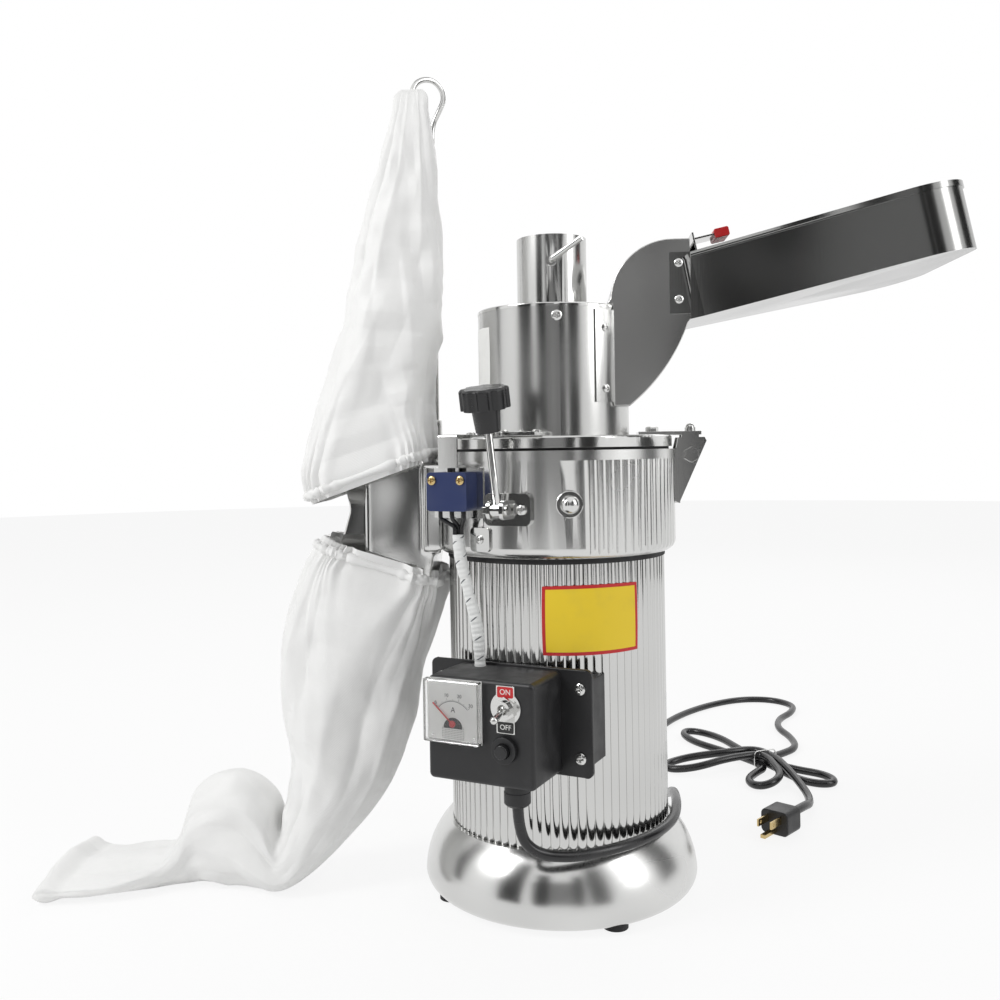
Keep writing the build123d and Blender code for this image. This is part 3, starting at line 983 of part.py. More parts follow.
# Switch wires in a braided sleeve from the lid switch to the top of the control box
sleeve_in = front(Pos(-20.6, -BOX_BACK - 6.5, BOX_Z1)).position
sleeve_out = Vector(SWITCH_AT[0] + 4.2, SWITCH_AT[1] + 3.2, SWITCH_Z - 18)
sleeve_path = [tuple(sleeve_out), (sleeve_out.X, sleeve_out.Y, sleeve_out.Z - 14)]
sleeve_path += [(sleeve_out.X + 8, sleeve_out.Y - 2, sleeve_out.Z - 46)]
sleeve_path += [(sleeve_in.X, sleeve_in.Y, BOX_Z1 + 22), tuple(sleeve_in)]
nodes["wire_sleeve"] = swept(sleeve_path, corner_radii(sleeve_path), BRAID_R)
wires = []
for i in range(3):
    start = at_switch(Pos(-10.0 + 10.0 * i, 0, SWITCH_Z)).position
    end = Vector(sleeve_out.X + 2.6 * (i - 1), sleeve_out.Y + 2.4 * (i % 2) - 1.0, sleeve_out.Z)
    wire_path = [tuple(start), (start.X, start.Y, start.Z - 6), (end.X, end.Y, end.Z + 6), tuple(end)]
    wires.append(swept(wire_path, 3.0, WIRE_R))
nodes["switch_wires"] = Compound(wires)

# Saddle clip on the chamber beside the sleeve
CLIP_ANGLE = 235.5
CLIP_Z = CHAMBER_Z + 15.0
clip = block(CHAMBER_R - 4, CHAMBER_R + 2, -9, 9, CLIP_Z - 9, CLIP_Z + 9)
clip = fillet(clip.edges().filter_by(Axis.X), 3.0) - cyl(CHAMBER_R, CHAMBER_Z - 1, FLANGE_Z)
clip_hole = rod((CHAMBER_R - 9, 0, CLIP_Z), (CHAMBER_R + 9, 0, CLIP_Z), LUG_SCREW_R + SCREW_FIT)
chamber = chamber - spun(clip_hole, CLIP_ANGLE)
clip_screw = screw_at(pan_screw(LUG_SCREW_R, 9.0, 3.2, 1.8), (CHAMBER_R + 2, 0, CLIP_Z), (1, 0, 0))
body_screws.append(spun(clip_screw, CLIP_ANGLE))
nodes["switch_bracket"] = Compound([holder, spun(clip - clip_hole, CLIP_ANGLE)])
nodes["chamber_body"] = chamber
nodes["body_screws"] = Compound(body_screws)
nodes["lid_screws"] = Compound(lid_screws)


# Mains cord, a tube of straight runs and tangent arcs
def cord_tube(points, name):
    radii = corner_radii(points)
    path = FilletPolyline(*points, radius=radii)
    tube = sweep((path ^ 0) * Circle(CORD_R), path=path)
    ratio = tube.volume / (math.pi * CORD_R ** 2 * path.length)
    print(name, "length", round(path.length, 1), "least radius", round(min(radii), 1))
    print(name, "volume over section times length", round(ratio, 4))
    return tube, path


gland_at = front(Pos(GLAND_X, GLAND_Y, GLAND_Z + CORD_BORE)).position
FLOOR_Z = CORD_R + 0.05
RIM_Z = BASE_TOP + CORD_R + 0.5
cord_points = [
    (gland_at.X, gland_at.Y, gland_at.Z),
    (gland_at.X, gland_at.Y, gland_at.Z - 26),
    (-17.0, -117.0, 65.0),
    (7.0, -110.0, 60.0),
    (33.0, -99.0, RIM_Z),
    (58.0, -80.5, RIM_Z),
    (77.5, -57.5, RIM_Z),
    (90.5, -30.0, RIM_Z),
    (95.8, 2.0, RIM_Z),
    (98.0, 40.0, 57.0),
    (100.0, 85.0, 43.0),
    (101.0, 140.0, 22.0),
    (100.0, 195.0, 8.0),
    (98.5, 255.0, FLOOR_Z),
    (100.0, 320.0, FLOOR_Z),
    (107.0, 385.0, FLOOR_Z),
    (125.0, 445.0, FLOOR_Z),
    (156.0, 500.0, FLOOR_Z),
    (198.0, 548.0, FLOOR_Z),
    (245.0, 580.0, FLOOR_Z),
    (288.0, 578.0, FLOOR_Z),
    (311.0, 546.0, FLOOR_Z),
    (300.0, 509.0, FLOOR_Z),
    (276.0, 476.0, FLOOR_Z),
    (266.0, 435.0, FLOOR_Z),
    (274.0, 394.0, FLOOR_Z),
]

# Tied hank: loops drawn in at a waist where the strands lie in two layers
WAIST = (223.0, 290.0)
WAIST_TURN = 115.0
WAIST_HALF = 13.0
STRAND_STEP = 2 * CORD_R + 0.8
LOW_LAYER = CORD_R + 1.6
HIGH_LAYER = LOW_LAYER + STRAND_STEP


def strand(across, z, heading, before=WAIST_HALF, after=WAIST_HALF):
    along = math.radians(WAIST_TURN)
    out = []
    for u in (-heading * before, heading * after):
        x = WAIST[0] + u * math.cos(along) - across * math.sin(along)
        y = WAIST[1] + u * math.sin(along) + across * math.cos(along)
        out.append((x, y, z))
    return out


def loop(angle, length, half, side, heights):
    turn = math.radians(angle)
    shape = [(0.40, 0.55), (0.70, 1.0), (0.92, 0.68), (1.0, 0.0), (0.92, -0.68), (0.70, -1.0), (0.40, -0.55)]
    out = []
    for (s, t), z in zip(shape, heights):
        along = s * length
        across = t * half * side
        x = WAIST[0] + along * math.cos(turn) - across * math.sin(turn)
        y = WAIST[1] + along * math.sin(turn) + across * math.cos(turn)
        out.append((x, y, z))
    return out


flat = [FLOOR_Z] * 7
climb = [FLOOR_Z, FLOOR_Z, FLOOR_Z, 6.0, 9.5, 12.5, HIGH_LAYER]
arch = [HIGH_LAYER, 8.0, FLOOR_Z, FLOOR_Z, FLOOR_Z, 8.0, HIGH_LAYER]
hank_points = [(271.0, 352.0, FLOOR_Z), (248.0, 327.0, FLOOR_Z)]
hank_points += strand(-STRAND_STEP, LOW_LAYER, -1) + loop(312.0, 85.0, 17.0, 1, flat)
hank_points += strand(0.0, LOW_LAYER, 1) + loop(118.0, 150.0, 19.0, -1, flat)
hank_points += strand(STRAND_STEP, LOW_LAYER, -1) + loop(258.0, 80.0, 17.0, -1, climb)
hank_points += strand(STRAND_STEP / 2, HIGH_LAYER, 1, after=6.0) + loop(184.0, 112.0, 19.0, 1, arch)
hank_points += strand(-STRAND_STEP / 2, HIGH_LAYER, -1, before=24.0)
PLUG_AT = (217.0, 124.0, PLUG_T / 2 + 0.05)
PLUG_AIM = Vector(-0.64, -0.768, 0).normalized()
hank_points += [(236.0, 252.0, HIGH_LAYER), (243.0, 222.0, 8.0)]
hank_points += [(246.0, 190.0, FLOOR_Z), (240.0, 160.0, 6.0)]
lead = Vector(*PLUG_AT) - PLUG_AIM * 22
hank_points += [tuple(lead), PLUG_AT]
split = tuple((Vector(*cord_points[-1]) + Vector(*hank_points[0])) * 0.5)
run_tube, run_path = cord_tube(cord_points + [split], "cord_run")
hank_tube, hank_path = cord_tube([split] + hank_points, "cord_hank")
nodes["cord_run"] = run_tube
nodes["cord_hank"] = hank_tube
STEPS = 700
spots = [hank_path @ (i / STEPS) for i in range(STEPS + 1)]
skip = int(6 * CORD_R / hank_path.length * STEPS) + 1
least = min((spots[i] - spots[j]).length for i in range(STEPS + 1) for j in range(i + skip, STEPS + 1))
print("cord_hank least gap to itself", round(least - 2 * CORD_R, 2))

# Wire tie round the waist of the hank
TIE_R = 0.7
TIE_GAP = 0.2
tie_w = 2 * (STRAND_STEP + CORD_R + TIE_GAP)
tie_h = STRAND_STEP + 2 * (CORD_R + TIE_GAP)
tie_face = RectangleRounded(tie_w + 2.6, tie_h + 2.6, CORD_R + 1.5) - RectangleRounded(tie_w, tie_h, CORD_R)
waist_plane = Plane(
    origin=(WAIST[0], WAIST[1], (LOW_LAYER + HIGH_LAYER) / 2),
    x_dir=(-math.sin(math.radians(WAIST_TURN)), math.cos(math.radians(WAIST_TURN)), 0),
    z_dir=(math.cos(math.radians(WAIST_TURN)), math.sin(math.radians(WAIST_TURN)), 0),
)
nodes["cord_tie"] = extrude(waist_plane * tie_face, amount=TIE_R, both=True)

# Moulded plug with three blades
plug_plane = Plane(origin=PLUG_AT, x_dir=(-PLUG_AIM.Y, PLUG_AIM.X, 0), z_dir=PLUG_AIM)
neck_end = plug_plane * Pos(0, 0, PLUG_NECK) * Circle(PLUG_T / 2 - 2)
neck_shape = loft([plug_plane * Circle(CORD_R + 1.5), neck_end])
plug_shape = plug_plane * Pos(0, 0, PLUG_NECK) * extrude(RectangleRounded(PLUG_W, PLUG_T, 5.0), amount=PLUG_L)
nodes["plug_body"] = neck_shape + plug_shape
blade_z = PLUG_NECK + PLUG_L
line_blade = Box(1.6, 6.4, BLADE_L) - Pos(0, 0, BLADE_L / 2 - 4) * Rot(0, 90, 0) * Cylinder(1.5, 4)
blades = [plug_plane * Pos(x, 3.5, blade_z + BLADE_L / 2) * line_blade for x in (-6.35, 6.35)]
blades.append(plug_plane * Pos(0, -6.5, blade_z + BLADE_L / 2 + 1.5) * Box(4.6, 3.2, BLADE_L + 3))
nodes["plug_blades"] = Compound(blades)

for name, shape in nodes.items():
    export_step(shape, f"parts/{name}.step")
    size = shape.bounding_box()
    levels = f"z {size.min.Z:7.2f} {size.max.Z:7.2f}"
    print(f"{name:18s} solids {len(shape.solids())} vol {shape.volume:10.1f} {levels}")
print(len(nodes), "nodes")
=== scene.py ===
"""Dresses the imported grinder: metal finishes, cloth bags, mains cord, panel meter, fasteners and studio."""

import contextlib
import math

import bmesh
import bpy
import numpy as np
from mathutils import Matrix, Vector


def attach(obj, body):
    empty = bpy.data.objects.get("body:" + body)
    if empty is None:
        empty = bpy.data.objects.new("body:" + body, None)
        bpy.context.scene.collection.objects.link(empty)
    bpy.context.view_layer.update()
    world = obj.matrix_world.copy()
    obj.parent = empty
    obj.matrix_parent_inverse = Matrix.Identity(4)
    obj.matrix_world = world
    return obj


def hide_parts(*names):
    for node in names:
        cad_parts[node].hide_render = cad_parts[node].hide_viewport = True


bl_info = {
    "name": "Electric grinder",
    "version": (1, 0, 0),
    "blender": (4, 5, 0),
    "location": "3D View > Sidebar > Grinder",
    "description": "Builds the looks of an upright electric grinder around its packed frame",
    "category": "Add Mesh",
}

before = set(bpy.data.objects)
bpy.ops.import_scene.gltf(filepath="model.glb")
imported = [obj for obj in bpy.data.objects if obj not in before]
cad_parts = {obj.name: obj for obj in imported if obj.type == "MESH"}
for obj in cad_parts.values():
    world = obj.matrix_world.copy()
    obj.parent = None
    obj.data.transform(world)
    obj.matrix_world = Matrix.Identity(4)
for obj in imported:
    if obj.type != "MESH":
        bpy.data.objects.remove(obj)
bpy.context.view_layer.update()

# Lengths are millimetres unless a comment says otherwise, and MM turns them into Blender's metres
MM = 0.001
FRONT = math.radians(-23.0)
HOUSING_R = 88.0
CHAMBER_R = 97.5
NECK_R = 61.3
LID_SEAT = 366.0
BOX_FACE = 140.0
BOX_BACK = 92.0
PIN_X = 110.0
PIVOT_Z = 309.0
METER_X = -20.0
METER_Z = 168.5
NEEDLE_Z = 159.5
TOGGLE_X = 21.0
TOGGLE_Z = 174.0
CORD_R = 4.0
SWITCH_ANGLE = math.radians(227.0)
SWITCH_OUT = 112.5
LONG_EDGE = 15.0
ELBOW_SIDE = 40.0
ELBOW_MOUTH = 105.0
ELBOW_NEAR = 0.05
ELBOW_LEAN = 0.2
# Angles past which shading breaks or an edge is rounded, and below which faces count as one
MADE_SHARP = math.radians(35.0)
CAD_SHARP = math.radians(30.0)
EDGE_SHARP = math.radians(40.0)
FLAT_ANGLE = math.radians(0.5)
# Distances of merging and depths of fine relief, in metres
MADE_MERGE = 0.000002
CAD_MERGE = 0.00001
LINE_DEPTH = 0.000007
GRAIN_DEPTH = 0.000009
# Noises and waves of the finishes, per metre, and waves per turn of the braid
SWAY_SCALE = 13.0
SOFT_SCALE = 16.0
GRAIN_SCALE = 900.0
WEAVE = 5200.0
PIERCING = 5200.0
PLAIT = 900.0
PLAIT_TURN = 12.566
TRACER = 420.0
TRACER_TURN = 6.283
TRACER_GAPS = 1300.0


class Val:
    """A shader value that plain arithmetic works on: each operation adds one Math node."""

    def __init__(self, nodes, socket):
        self.nodes = nodes
        self.socket = socket

    def math(self, operation, *others):
        node = self.nodes.add("ShaderNodeMath", {"operation": operation}, dict(enumerate((self, *others))))
        return Val(self.nodes, node.outputs[0])

    def __add__(self, other):
        return self.math("ADD", other)

    __radd__ = __add__

    def __mul__(self, other):
        return self.math("MULTIPLY", other)

    __rmul__ = __mul__

    def __sub__(self, other):
        return self.math("SUBTRACT", other)

    def __rsub__(self, other):
        return (self * -1.0) + other

    def sin(self):
        return self.math("SINE")

    def above(self, level):
        return self.math("GREATER_THAN", level)

    def fade(self, low, high, start=0.0, stop=1.0):
        links = {"Value": self, "From Min": low, "From Max": high, "To Min": start, "To Max": stop}
        node = self.nodes.add("ShaderNodeMapRange", {"interpolation_type": "SMOOTHSTEP"}, links)
        return Val(self.nodes, node.outputs[0])


class Nodes:
    """A node tree, and one way to add any node to it."""

    def __init__(self, tree):
        self.tree = tree

    def plug(self, socket, value):
        if isinstance(value, Val):
            value = value.socket
        if isinstance(value, bpy.types.NodeSocket):
            self.tree.links.new(value, socket)
        else:
            socket.default_value = value

    def add(self, kind, settings, links):
        node = self.tree.nodes.new(kind)
        for key, value in settings.items():
            if key == "stops":
                for element, (place, colour) in zip(node.color_ramp.elements, value):
                    element.position = place
                    element.color = colour
            else:
                setattr(node, key, value)
        for key, value in links.items():
            self.plug(node.inputs[key], value)
        return node

    def seen_rays(self):
        """One where a ray comes from the camera, a mirror or a clear piece, and nought elsewhere."""
        path = self.add("ShaderNodeLightPath", {}, {}).outputs
        mirror, clear = path["Is Glossy Ray"], path["Is Transmission Ray"]
        return Val(self, path["Is Camera Ray"]).math("MAXIMUM", mirror).math("MAXIMUM", clear)


class Finish(Nodes):
    """One material with its shader, and short ways to add nodes to it."""

    def __init__(self, name, colour, roughness, metallic=0.0, **sockets):
        self.material = bpy.data.materials.new(name)
        self.material.use_nodes = True
        super().__init__(self.material.node_tree)
        self.shader = self.tree.nodes["Principled BSDF"]
        self.set("Base Color", (*colour, 1.0))
        self.set("Roughness", roughness)
        self.set("Metallic", metallic)
        for key, value in sockets.items():
            self.set(key.replace("_", " ").title(), value)

    def set(self, socket, value):
        self.plug(self.shader.inputs[socket], value)

    def place(self, scale=(1.0, 1.0, 1.0), turn=(0.0, 0.0, 0.0)):
        coords = self.add("ShaderNodeTexCoord", {}, {})
        links = {"Vector": coords.outputs["Object"], "Scale": scale, "Rotation": turn}
        return self.add("ShaderNodeMapping", {}, links).outputs[0]

    def along(self):
        node = self.add("ShaderNodeUVMap", {"uv_map": "UVMap"}, {})
        split = self.add("ShaderNodeSeparateXYZ", {}, {0: node.outputs[0]})
        return Val(self, split.outputs[0]), Val(self, split.outputs[1])

    def noise(self, vector, scale, detail=3.0):
        links = {"Vector": vector, "Scale": scale, "Detail": detail}
        return Val(self, self.add("ShaderNodeTexNoise", {}, links).outputs[0])

    def tint(self, factor, first, second):
        links = {0: factor, 6: (*first, 1.0), 7: (*second, 1.0)}
        return self.add("ShaderNodeMix", {"data_type": "RGBA"}, links).outputs[2]

    def bump(self, height, depth, strength=1.0):
        links = {"Height": height, "Distance": depth, "Strength": strength}
        self.set("Normal", self.add("ShaderNodeBump", {}, links).outputs[0])


def darker(colour, share):
    return tuple(c * share for c in colour)


def worn(f, colour, roughness, relief, sway, spans, dull, dark):
    """Ends a metal: soft patches change its gloss and tone, and a broad sway joins its fine relief."""
    patches = f.noise(f.place(), SOFT_SCALE, 0.0)
    f.set("Roughness", patches.fade(*spans[0], roughness * dull, roughness * 1.4))
    f.set("Base Color", f.tint(patches.fade(*spans[1]), darker(colour, dark), colour))
    f.bump(relief + f.noise(f.place(), SWAY_SCALE, 0.0) * sway, 1.0)
    return f.material


def polished_metal(name, colour, roughness, grain, sway=0.0):
    """Bright sheet metal: fine drawn lines along the height, soft hand marks and broad sway in metres."""
    f = Finish(name, colour, roughness, 1.0)
    lines = f.noise(f.place((grain, grain, 6.0)), 1.0, 2.0) * LINE_DEPTH
    return worn(f, colour, roughness, lines, sway, ((0.1, 0.9), (0.1, 0.9)), 0.7, 0.93)


def cast_metal(name, colour, roughness, sway=0.0):
    """Polished casting: a faint sand grain under the polish, duller patches and broad sway in metres."""
    f = Finish(name, colour, roughness, 1.0)
    grain = f.noise(f.place(), GRAIN_SCALE, 2.0) * GRAIN_DEPTH
    return worn(f, colour, roughness, grain, sway, ((0.2, 0.85), (0.2, 0.8)), 0.8, 0.88)


def moulded(name, colour, roughness, peel=700.0, depth=0.00005):
    """Moulded or painted skin: orange peel in the surface and slight dust in the gloss."""
    f = Finish(name, colour, roughness)
    skin = f.noise(f.place(), peel, 2.0)
    dust = f.noise(f.place(), 60.0, 4.0)
    f.set("Roughness", dust.fade(0.3, 0.75, roughness * 0.85, min(1.0, roughness * 1.25)))
    f.set("Base Color", f.tint(dust.fade(0.45, 0.8), colour, tuple(c * 0.92 + 0.012 for c in colour)))
    f.bump(skin, depth, 0.5)
    return f.material


def woven_cloth(name, colour):
    """Thin white cloth: plain weave from the cut's own map, with a soft sheen and faint shade in folds."""
    f = Finish(name, colour, 0.5, sheen_weight=0.15, sheen_roughness=0.5)
    across, length = f.along()
    weave = (across * WEAVE).sin() * (length * WEAVE).sin()
    cloud = f.noise(f.place(), 35.0, 4.0)
    f.set("Base Color", f.tint(cloud.fade(0.3, 0.7), darker(colour, 0.96), colour))
    f.bump(weave * 0.2 + cloud, 0.0008, 0.3)
    return f.material


def braided(name, colour, thread):
    """Braided sleeving: white yarn in a diagonal plait with thin dark tracer dashes."""
    f = Finish(name, colour, 0.7)
    around, length = f.along()
    one = (around * PLAIT_TURN + length * PLAIT).sin()
    two = (around * PLAIT_TURN - length * PLAIT).sin()
    dash = (around * TRACER_TURN + length * TRACER).sin().above(0.975)
    shown = (length * TRACER_GAPS).sin().above(-0.2)
    f.set("Base Color", f.tint(dash * shown, colour, thread))
    f.bump(one * two, 0.0004, 0.6)
    return f.material


def punched(name, colour, hole):
    """Pierced sheet: rows of small dark holes set square."""
    f = Finish(name, colour, 0.5)
    split = f.add("ShaderNodeSeparateXYZ", {}, {0: f.place((1.0, 1.0, 1.0), (0.0, 0.0, -FRONT))})
    across = (Val(f, split.outputs[0]) * PIERCING).sin()
    upward = (Val(f, split.outputs[2]) * PIERCING).sin()
    holes = (across * upward).above(0.18) * across.above(0.0)
    f.set("Base Color", f.tint(holes, colour, hole))
    return f.material


def clear_plastic(name):
    """Clear moulding with a faint haze in its gloss."""
    f = Finish(name, (1.0, 1.0, 1.0), 0.03, transmission_weight=1.0)
    f.set("IOR", 1.46)
    haze = f.noise(f.place(), 40.0)
    f.set("Roughness", haze.fade(0.3, 0.8, 0.02, 0.06))
    return f.material


def turned(points, angle):
    """Turns points about the motor axis."""
    c, s = math.cos(angle), math.sin(angle)
    x = points[..., 0] * c - points[..., 1] * s
    y = points[..., 0] * s + points[..., 1] * c
    return np.stack([x, y, points[..., 2]], -1)


AHEAD = tuple(turned(np.array([0.0, -1.0, 0.0]), FRONT))
FINISHES = {}


def put(name, data):
    """Makes an object of the data and links it to the scene."""
    made = bpy.data.objects.new(name, data)
    bpy.context.scene.collection.objects.link(made)
    return made


@contextlib.contextmanager
def opened(mesh):
    """Opens a mesh for edits and writes them back."""
    work = bmesh.new()
    work.from_mesh(mesh)
    yield work
    work.to_mesh(mesh)
    work.free()


def grid_quads(rows, cols):
    """The faces of a grid of points that are counted row by row."""
    index = np.arange(rows * cols).reshape(rows, cols)
    return np.stack([index[:-1, :-1], index[1:, :-1], index[1:, 1:], index[:-1, 1:]], -1).reshape(-1, 4)


def lay_surface(name, points, finish, uv=None, body="frame"):
    """Makes a mesh of a grid of points: rows that meet are merged, so seams and poles close."""
    return lay_mesh(name, points.reshape(-1, 3), grid_quads(*points.shape[:2]), finish, uv, body)


def lay_mesh(name, points, faces, finish, uv=None, body="frame"):
    """Makes a shaded, outward facing mesh that rides on a body."""
    mesh = bpy.data.meshes.new(name)
    mesh.from_pydata((points * MM).tolist(), [], faces.tolist())
    if uv is not None:
        corners = np.zeros(len(mesh.loops), np.int32)
        mesh.loops.foreach_get("vertex_index", corners)
        layer = mesh.uv_layers.new(name="UVMap")
        layer.data.foreach_set("uv", uv.reshape(-1, 2)[corners].astype(np.float32).ravel())
    with opened(mesh) as work:
        bmesh.ops.remove_doubles(work, verts=work.verts, dist=MADE_MERGE)
        bmesh.ops.recalc_face_normals(work, faces=work.faces)
    return show(name, mesh, finish, body, MADE_SHARP)


def show(name, mesh, finish, body, sharp):
    """Shades a mesh and makes it a piece that rides on a body."""
    mesh.materials.clear()
    mesh.materials.append(FINISHES[finish])
    mesh.shade_smooth()
    mesh.set_sharp_from_angle(angle=sharp)
    piece = put(name, mesh)
    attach(piece, body)
    return piece


def modify(piece, name, kind, **settings):
    """Adds a modifier with its settings."""
    made = piece.modifiers.new(name, kind)
    for key, value in settings.items():
        setattr(made, key, value)


def dress(node, body, finish, bevel=0.0):
    """A merged, smoothly shaded copy of a CAD node with softened edges, which stands for the node."""
    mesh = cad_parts[node].data.copy()
    with opened(mesh) as work:
        bmesh.ops.remove_doubles(work, verts=work.verts, dist=CAD_MERGE)
        bmesh.ops.dissolve_limit(work, angle_limit=FLAT_ANGLE, verts=work.verts, edges=work.edges)
    piece = show(node + "_finish", mesh, finish, body, CAD_SHARP)
    if bevel:
        modify(piece, "soft_edges", "BEVEL", width=bevel * MM, segments=2, limit_method="ANGLE",
               angle_limit=EDGE_SHARP, use_clamp_overlap=True, harden_normals=True)
    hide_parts(node)
    return piece


def soft_cast(node, body, finish, grain, rounds):
    """A copy of a CAD casting, skinned afresh and eased, so that its edges flow as in a sand mould."""
    piece = dress(node, body, finish)
    modify(piece, "skin", "REMESH", mode="VOXEL", voxel_size=grain * MM, use_smooth_shade=True)
    modify(piece, "ease", "SMOOTH", factor=0.5, iterations=rounds)


def long_edge(edge):
    return edge.calc_length() > LONG_EDGE * MM


def elbow_side_edge(edge):
    """Where a flat side of the elbow meets its bent skin, short of the mouth."""
    on_side = all(abs(abs(v.co.y) - ELBOW_SIDE * MM) < ELBOW_NEAR * MM for v in edge.verts)
    lean = min(abs(face.normal.y) for face in edge.link_faces)
    return on_side and lean < ELBOW_LEAN and min(v.co.x for v in edge.verts) < ELBOW_MOUTH * MM


def round_edges(piece, width, chosen):
    """Rounds only the chosen sharp edges of a pressed piece."""
    with opened(piece.data) as work:
        layer = work.edges.layers.float.new("bevel_weight_edge")
        for edge in work.edges:
            sharp = len(edge.link_faces) == 2 and edge.calc_face_angle() > EDGE_SHARP
            edge[layer] = 1.0 if sharp and chosen(edge) else 0.0
    modify(piece, "round_edges", "BEVEL", width=width * MM, segments=4, limit_method="WEIGHT",
           use_clamp_overlap=False, loop_slide=False)
    modify(piece, "even_facets", "TRIANGULATE", ngon_method="BEAUTY")
    modify(piece, "even_shade", "WEIGHTED_NORMAL", keep_sharp=True)


def smooth_rows(knots, rows, at):
    """Cubic curve through rows of numbers: a Hermite blend with slopes from the neighbours."""
    slope = np.gradient(rows, knots, axis=0)
    i = np.clip(np.searchsorted(knots, at, "right") - 1, 0, len(knots) - 2)
    span = (knots[i + 1] - knots[i])[:, None]
    t = ((at - knots[i])[:, None]) / span
    a = (1 + 2 * t) * (1 - t) ** 2 * rows[i] + t * (1 - t) ** 2 * span * slope[i]
    return a + t ** 2 * (3 - 2 * t) * rows[i + 1] + t ** 2 * (t - 1) * span * slope[i + 1]


def meshed(curve):
    """The mesh that Blender makes of a curve, which is then removed."""
    holder = put(curve.name, curve)
    bpy.context.view_layer.update()
    mesh = bpy.data.meshes.new_from_object(holder.evaluated_get(bpy.context.evaluated_depsgraph_get()))
    bpy.data.objects.remove(holder)
    bpy.data.curves.remove(curve)
    return mesh


def spline_points(points):
    """Points along the smooth line of a quadratic NURBS through a route, read back from Blender."""
    curve = bpy.data.curves.new("route", "CURVE")
    curve.dimensions = "3D"
    add_spline(curve, points)
    mesh = meshed(curve)
    line = np.zeros(len(mesh.vertices) * 3)
    mesh.vertices.foreach_get("co", line)
    bpy.data.meshes.remove(mesh)
    return line.reshape(-1, 3) / MM


def run_lengths(line):
    """How far along a line each of its points lies."""
    return np.concatenate([[0], np.cumsum(np.linalg.norm(np.diff(line, axis=0), axis=1))])


def add_spline(curve, points):
    spline = curve.splines.new("NURBS")
    spline.points.add(len(points) - 1)
    spline.points.foreach_set("co", [c for p in points for c in (p[0] * MM, p[1] * MM, p[2] * MM, 1.0)])
    spline.order_u = 3
    spline.use_endpoint_u = True
    spline.resolution_u = 10


def carried(path, radius, sides, closed=False):
    """A round section carried along a path: at each station the circle stands square to the line."""
    if closed:
        ahead = np.roll(path, -1, 0) - np.roll(path, 1, 0)
    else:
        ahead = np.gradient(path, axis=0)
    ahead /= np.linalg.norm(ahead, axis=1)[:, None]
    upright = np.abs(ahead[:, 2]).mean() > 0.6
    side = np.cross(ahead, (1.0, 0.0, 0.0) if upright else (0.0, 0.0, 1.0))
    side /= np.linalg.norm(side, axis=1)[:, None]
    rise = np.cross(side, ahead)
    turn = np.linspace(0, 2 * np.pi, sides + 1)
    r = np.broadcast_to(radius, (len(path), sides + 1))[..., None]
    ring = np.cos(turn)[None, :, None] * side[:, None, :] + np.sin(turn)[None, :, None] * rise[:, None, :]
    grid = path[:, None, :] + r * ring
    return np.concatenate([grid, grid[:1]]) if closed else grid


def capped(grid, path):
    """Closes a carried section at both ends by rows that meet on the path."""
    first, last = (np.broadcast_to(p, grid[:1].shape) for p in (path[0], path[-1]))
    return np.concatenate([first, grid, last])


def spun_profile(profile, steps):
    """A profile of (radius, height) turned about the upright axis."""
    r, z = np.array(profile).T
    turn = np.linspace(0, 2 * np.pi, steps + 1)[:, None]
    return np.stack(np.broadcast_arrays(r * np.cos(turn), r * np.sin(turn), z), -1)


def bent_patch(radius, thick, angles, levels, corner):
    """A thin plate on a cylinder: a rounded rectangle of angle and height, lifted by its thickness."""
    turn = np.linspace(0, 2 * np.pi, 161)
    c, s = np.cos(turn), np.sin(turn)
    x = np.clip(c * 1.6, -1, 1) * ((angles[1] - angles[0]) * radius / 2 - corner) + c * corner
    z = np.clip(s * 1.6, -1, 1) * ((levels[1] - levels[0]) / 2 - corner) + s * corner
    share = np.array([1.0, 1.0, 0.985, 0.75, 0.5, 0.25, 0.0])[:, None]
    r = radius + np.array([0.0] + [thick] * 6)[:, None]
    a = sum(angles) / 2 + x * share / radius
    return np.stack([r * np.cos(a), r * np.sin(a), sum(levels) / 2 + z * share], -1)


def flat_plate(outline, face, thick):
    """A thin plate facing the front: an outline of (x, z), its rim, and rings that close on the middle."""
    middle = outline.mean(0)
    share = np.array([1.0, 1.0, 0.6, 0.0])[:, None, None]
    x, z = np.moveaxis(middle + (np.concatenate([outline, outline[:1]]) - middle) * share, -1, 0)
    y = -face - np.array([0.0, thick, thick, thick])[:, None]
    return turned(np.stack(np.broadcast_arrays(x, y, z), -1), FRONT)


def rounded_outline(x, z, half_x, half_z, corner, steps=8):
    """A rectangle of (x, z) with quarter circle corners."""
    out = []
    for k, (sx, sz) in enumerate([(1, 1), (-1, 1), (-1, -1), (1, -1)]):
        t = np.linspace(k * np.pi / 2, (k + 1) * np.pi / 2, steps)
        out.append(np.stack([x + sx * (half_x - corner) + corner * np.cos(t),
                             z + sz * (half_z - corner) + corner * np.sin(t)], -1))
    return np.concatenate(out)


def scale_band(inner, outer, start, stop, y, steps):
    """A flat ring sector about the needle's pin, as its outer and its inner row of points."""
    t = np.linspace(start, stop, steps)
    r = np.array([[outer], [inner]])
    x, z = METER_X + r * np.sin(t), NEEDLE_Z + r * np.cos(t)
    return np.stack([x, np.full(x.shape, y), z], -1)


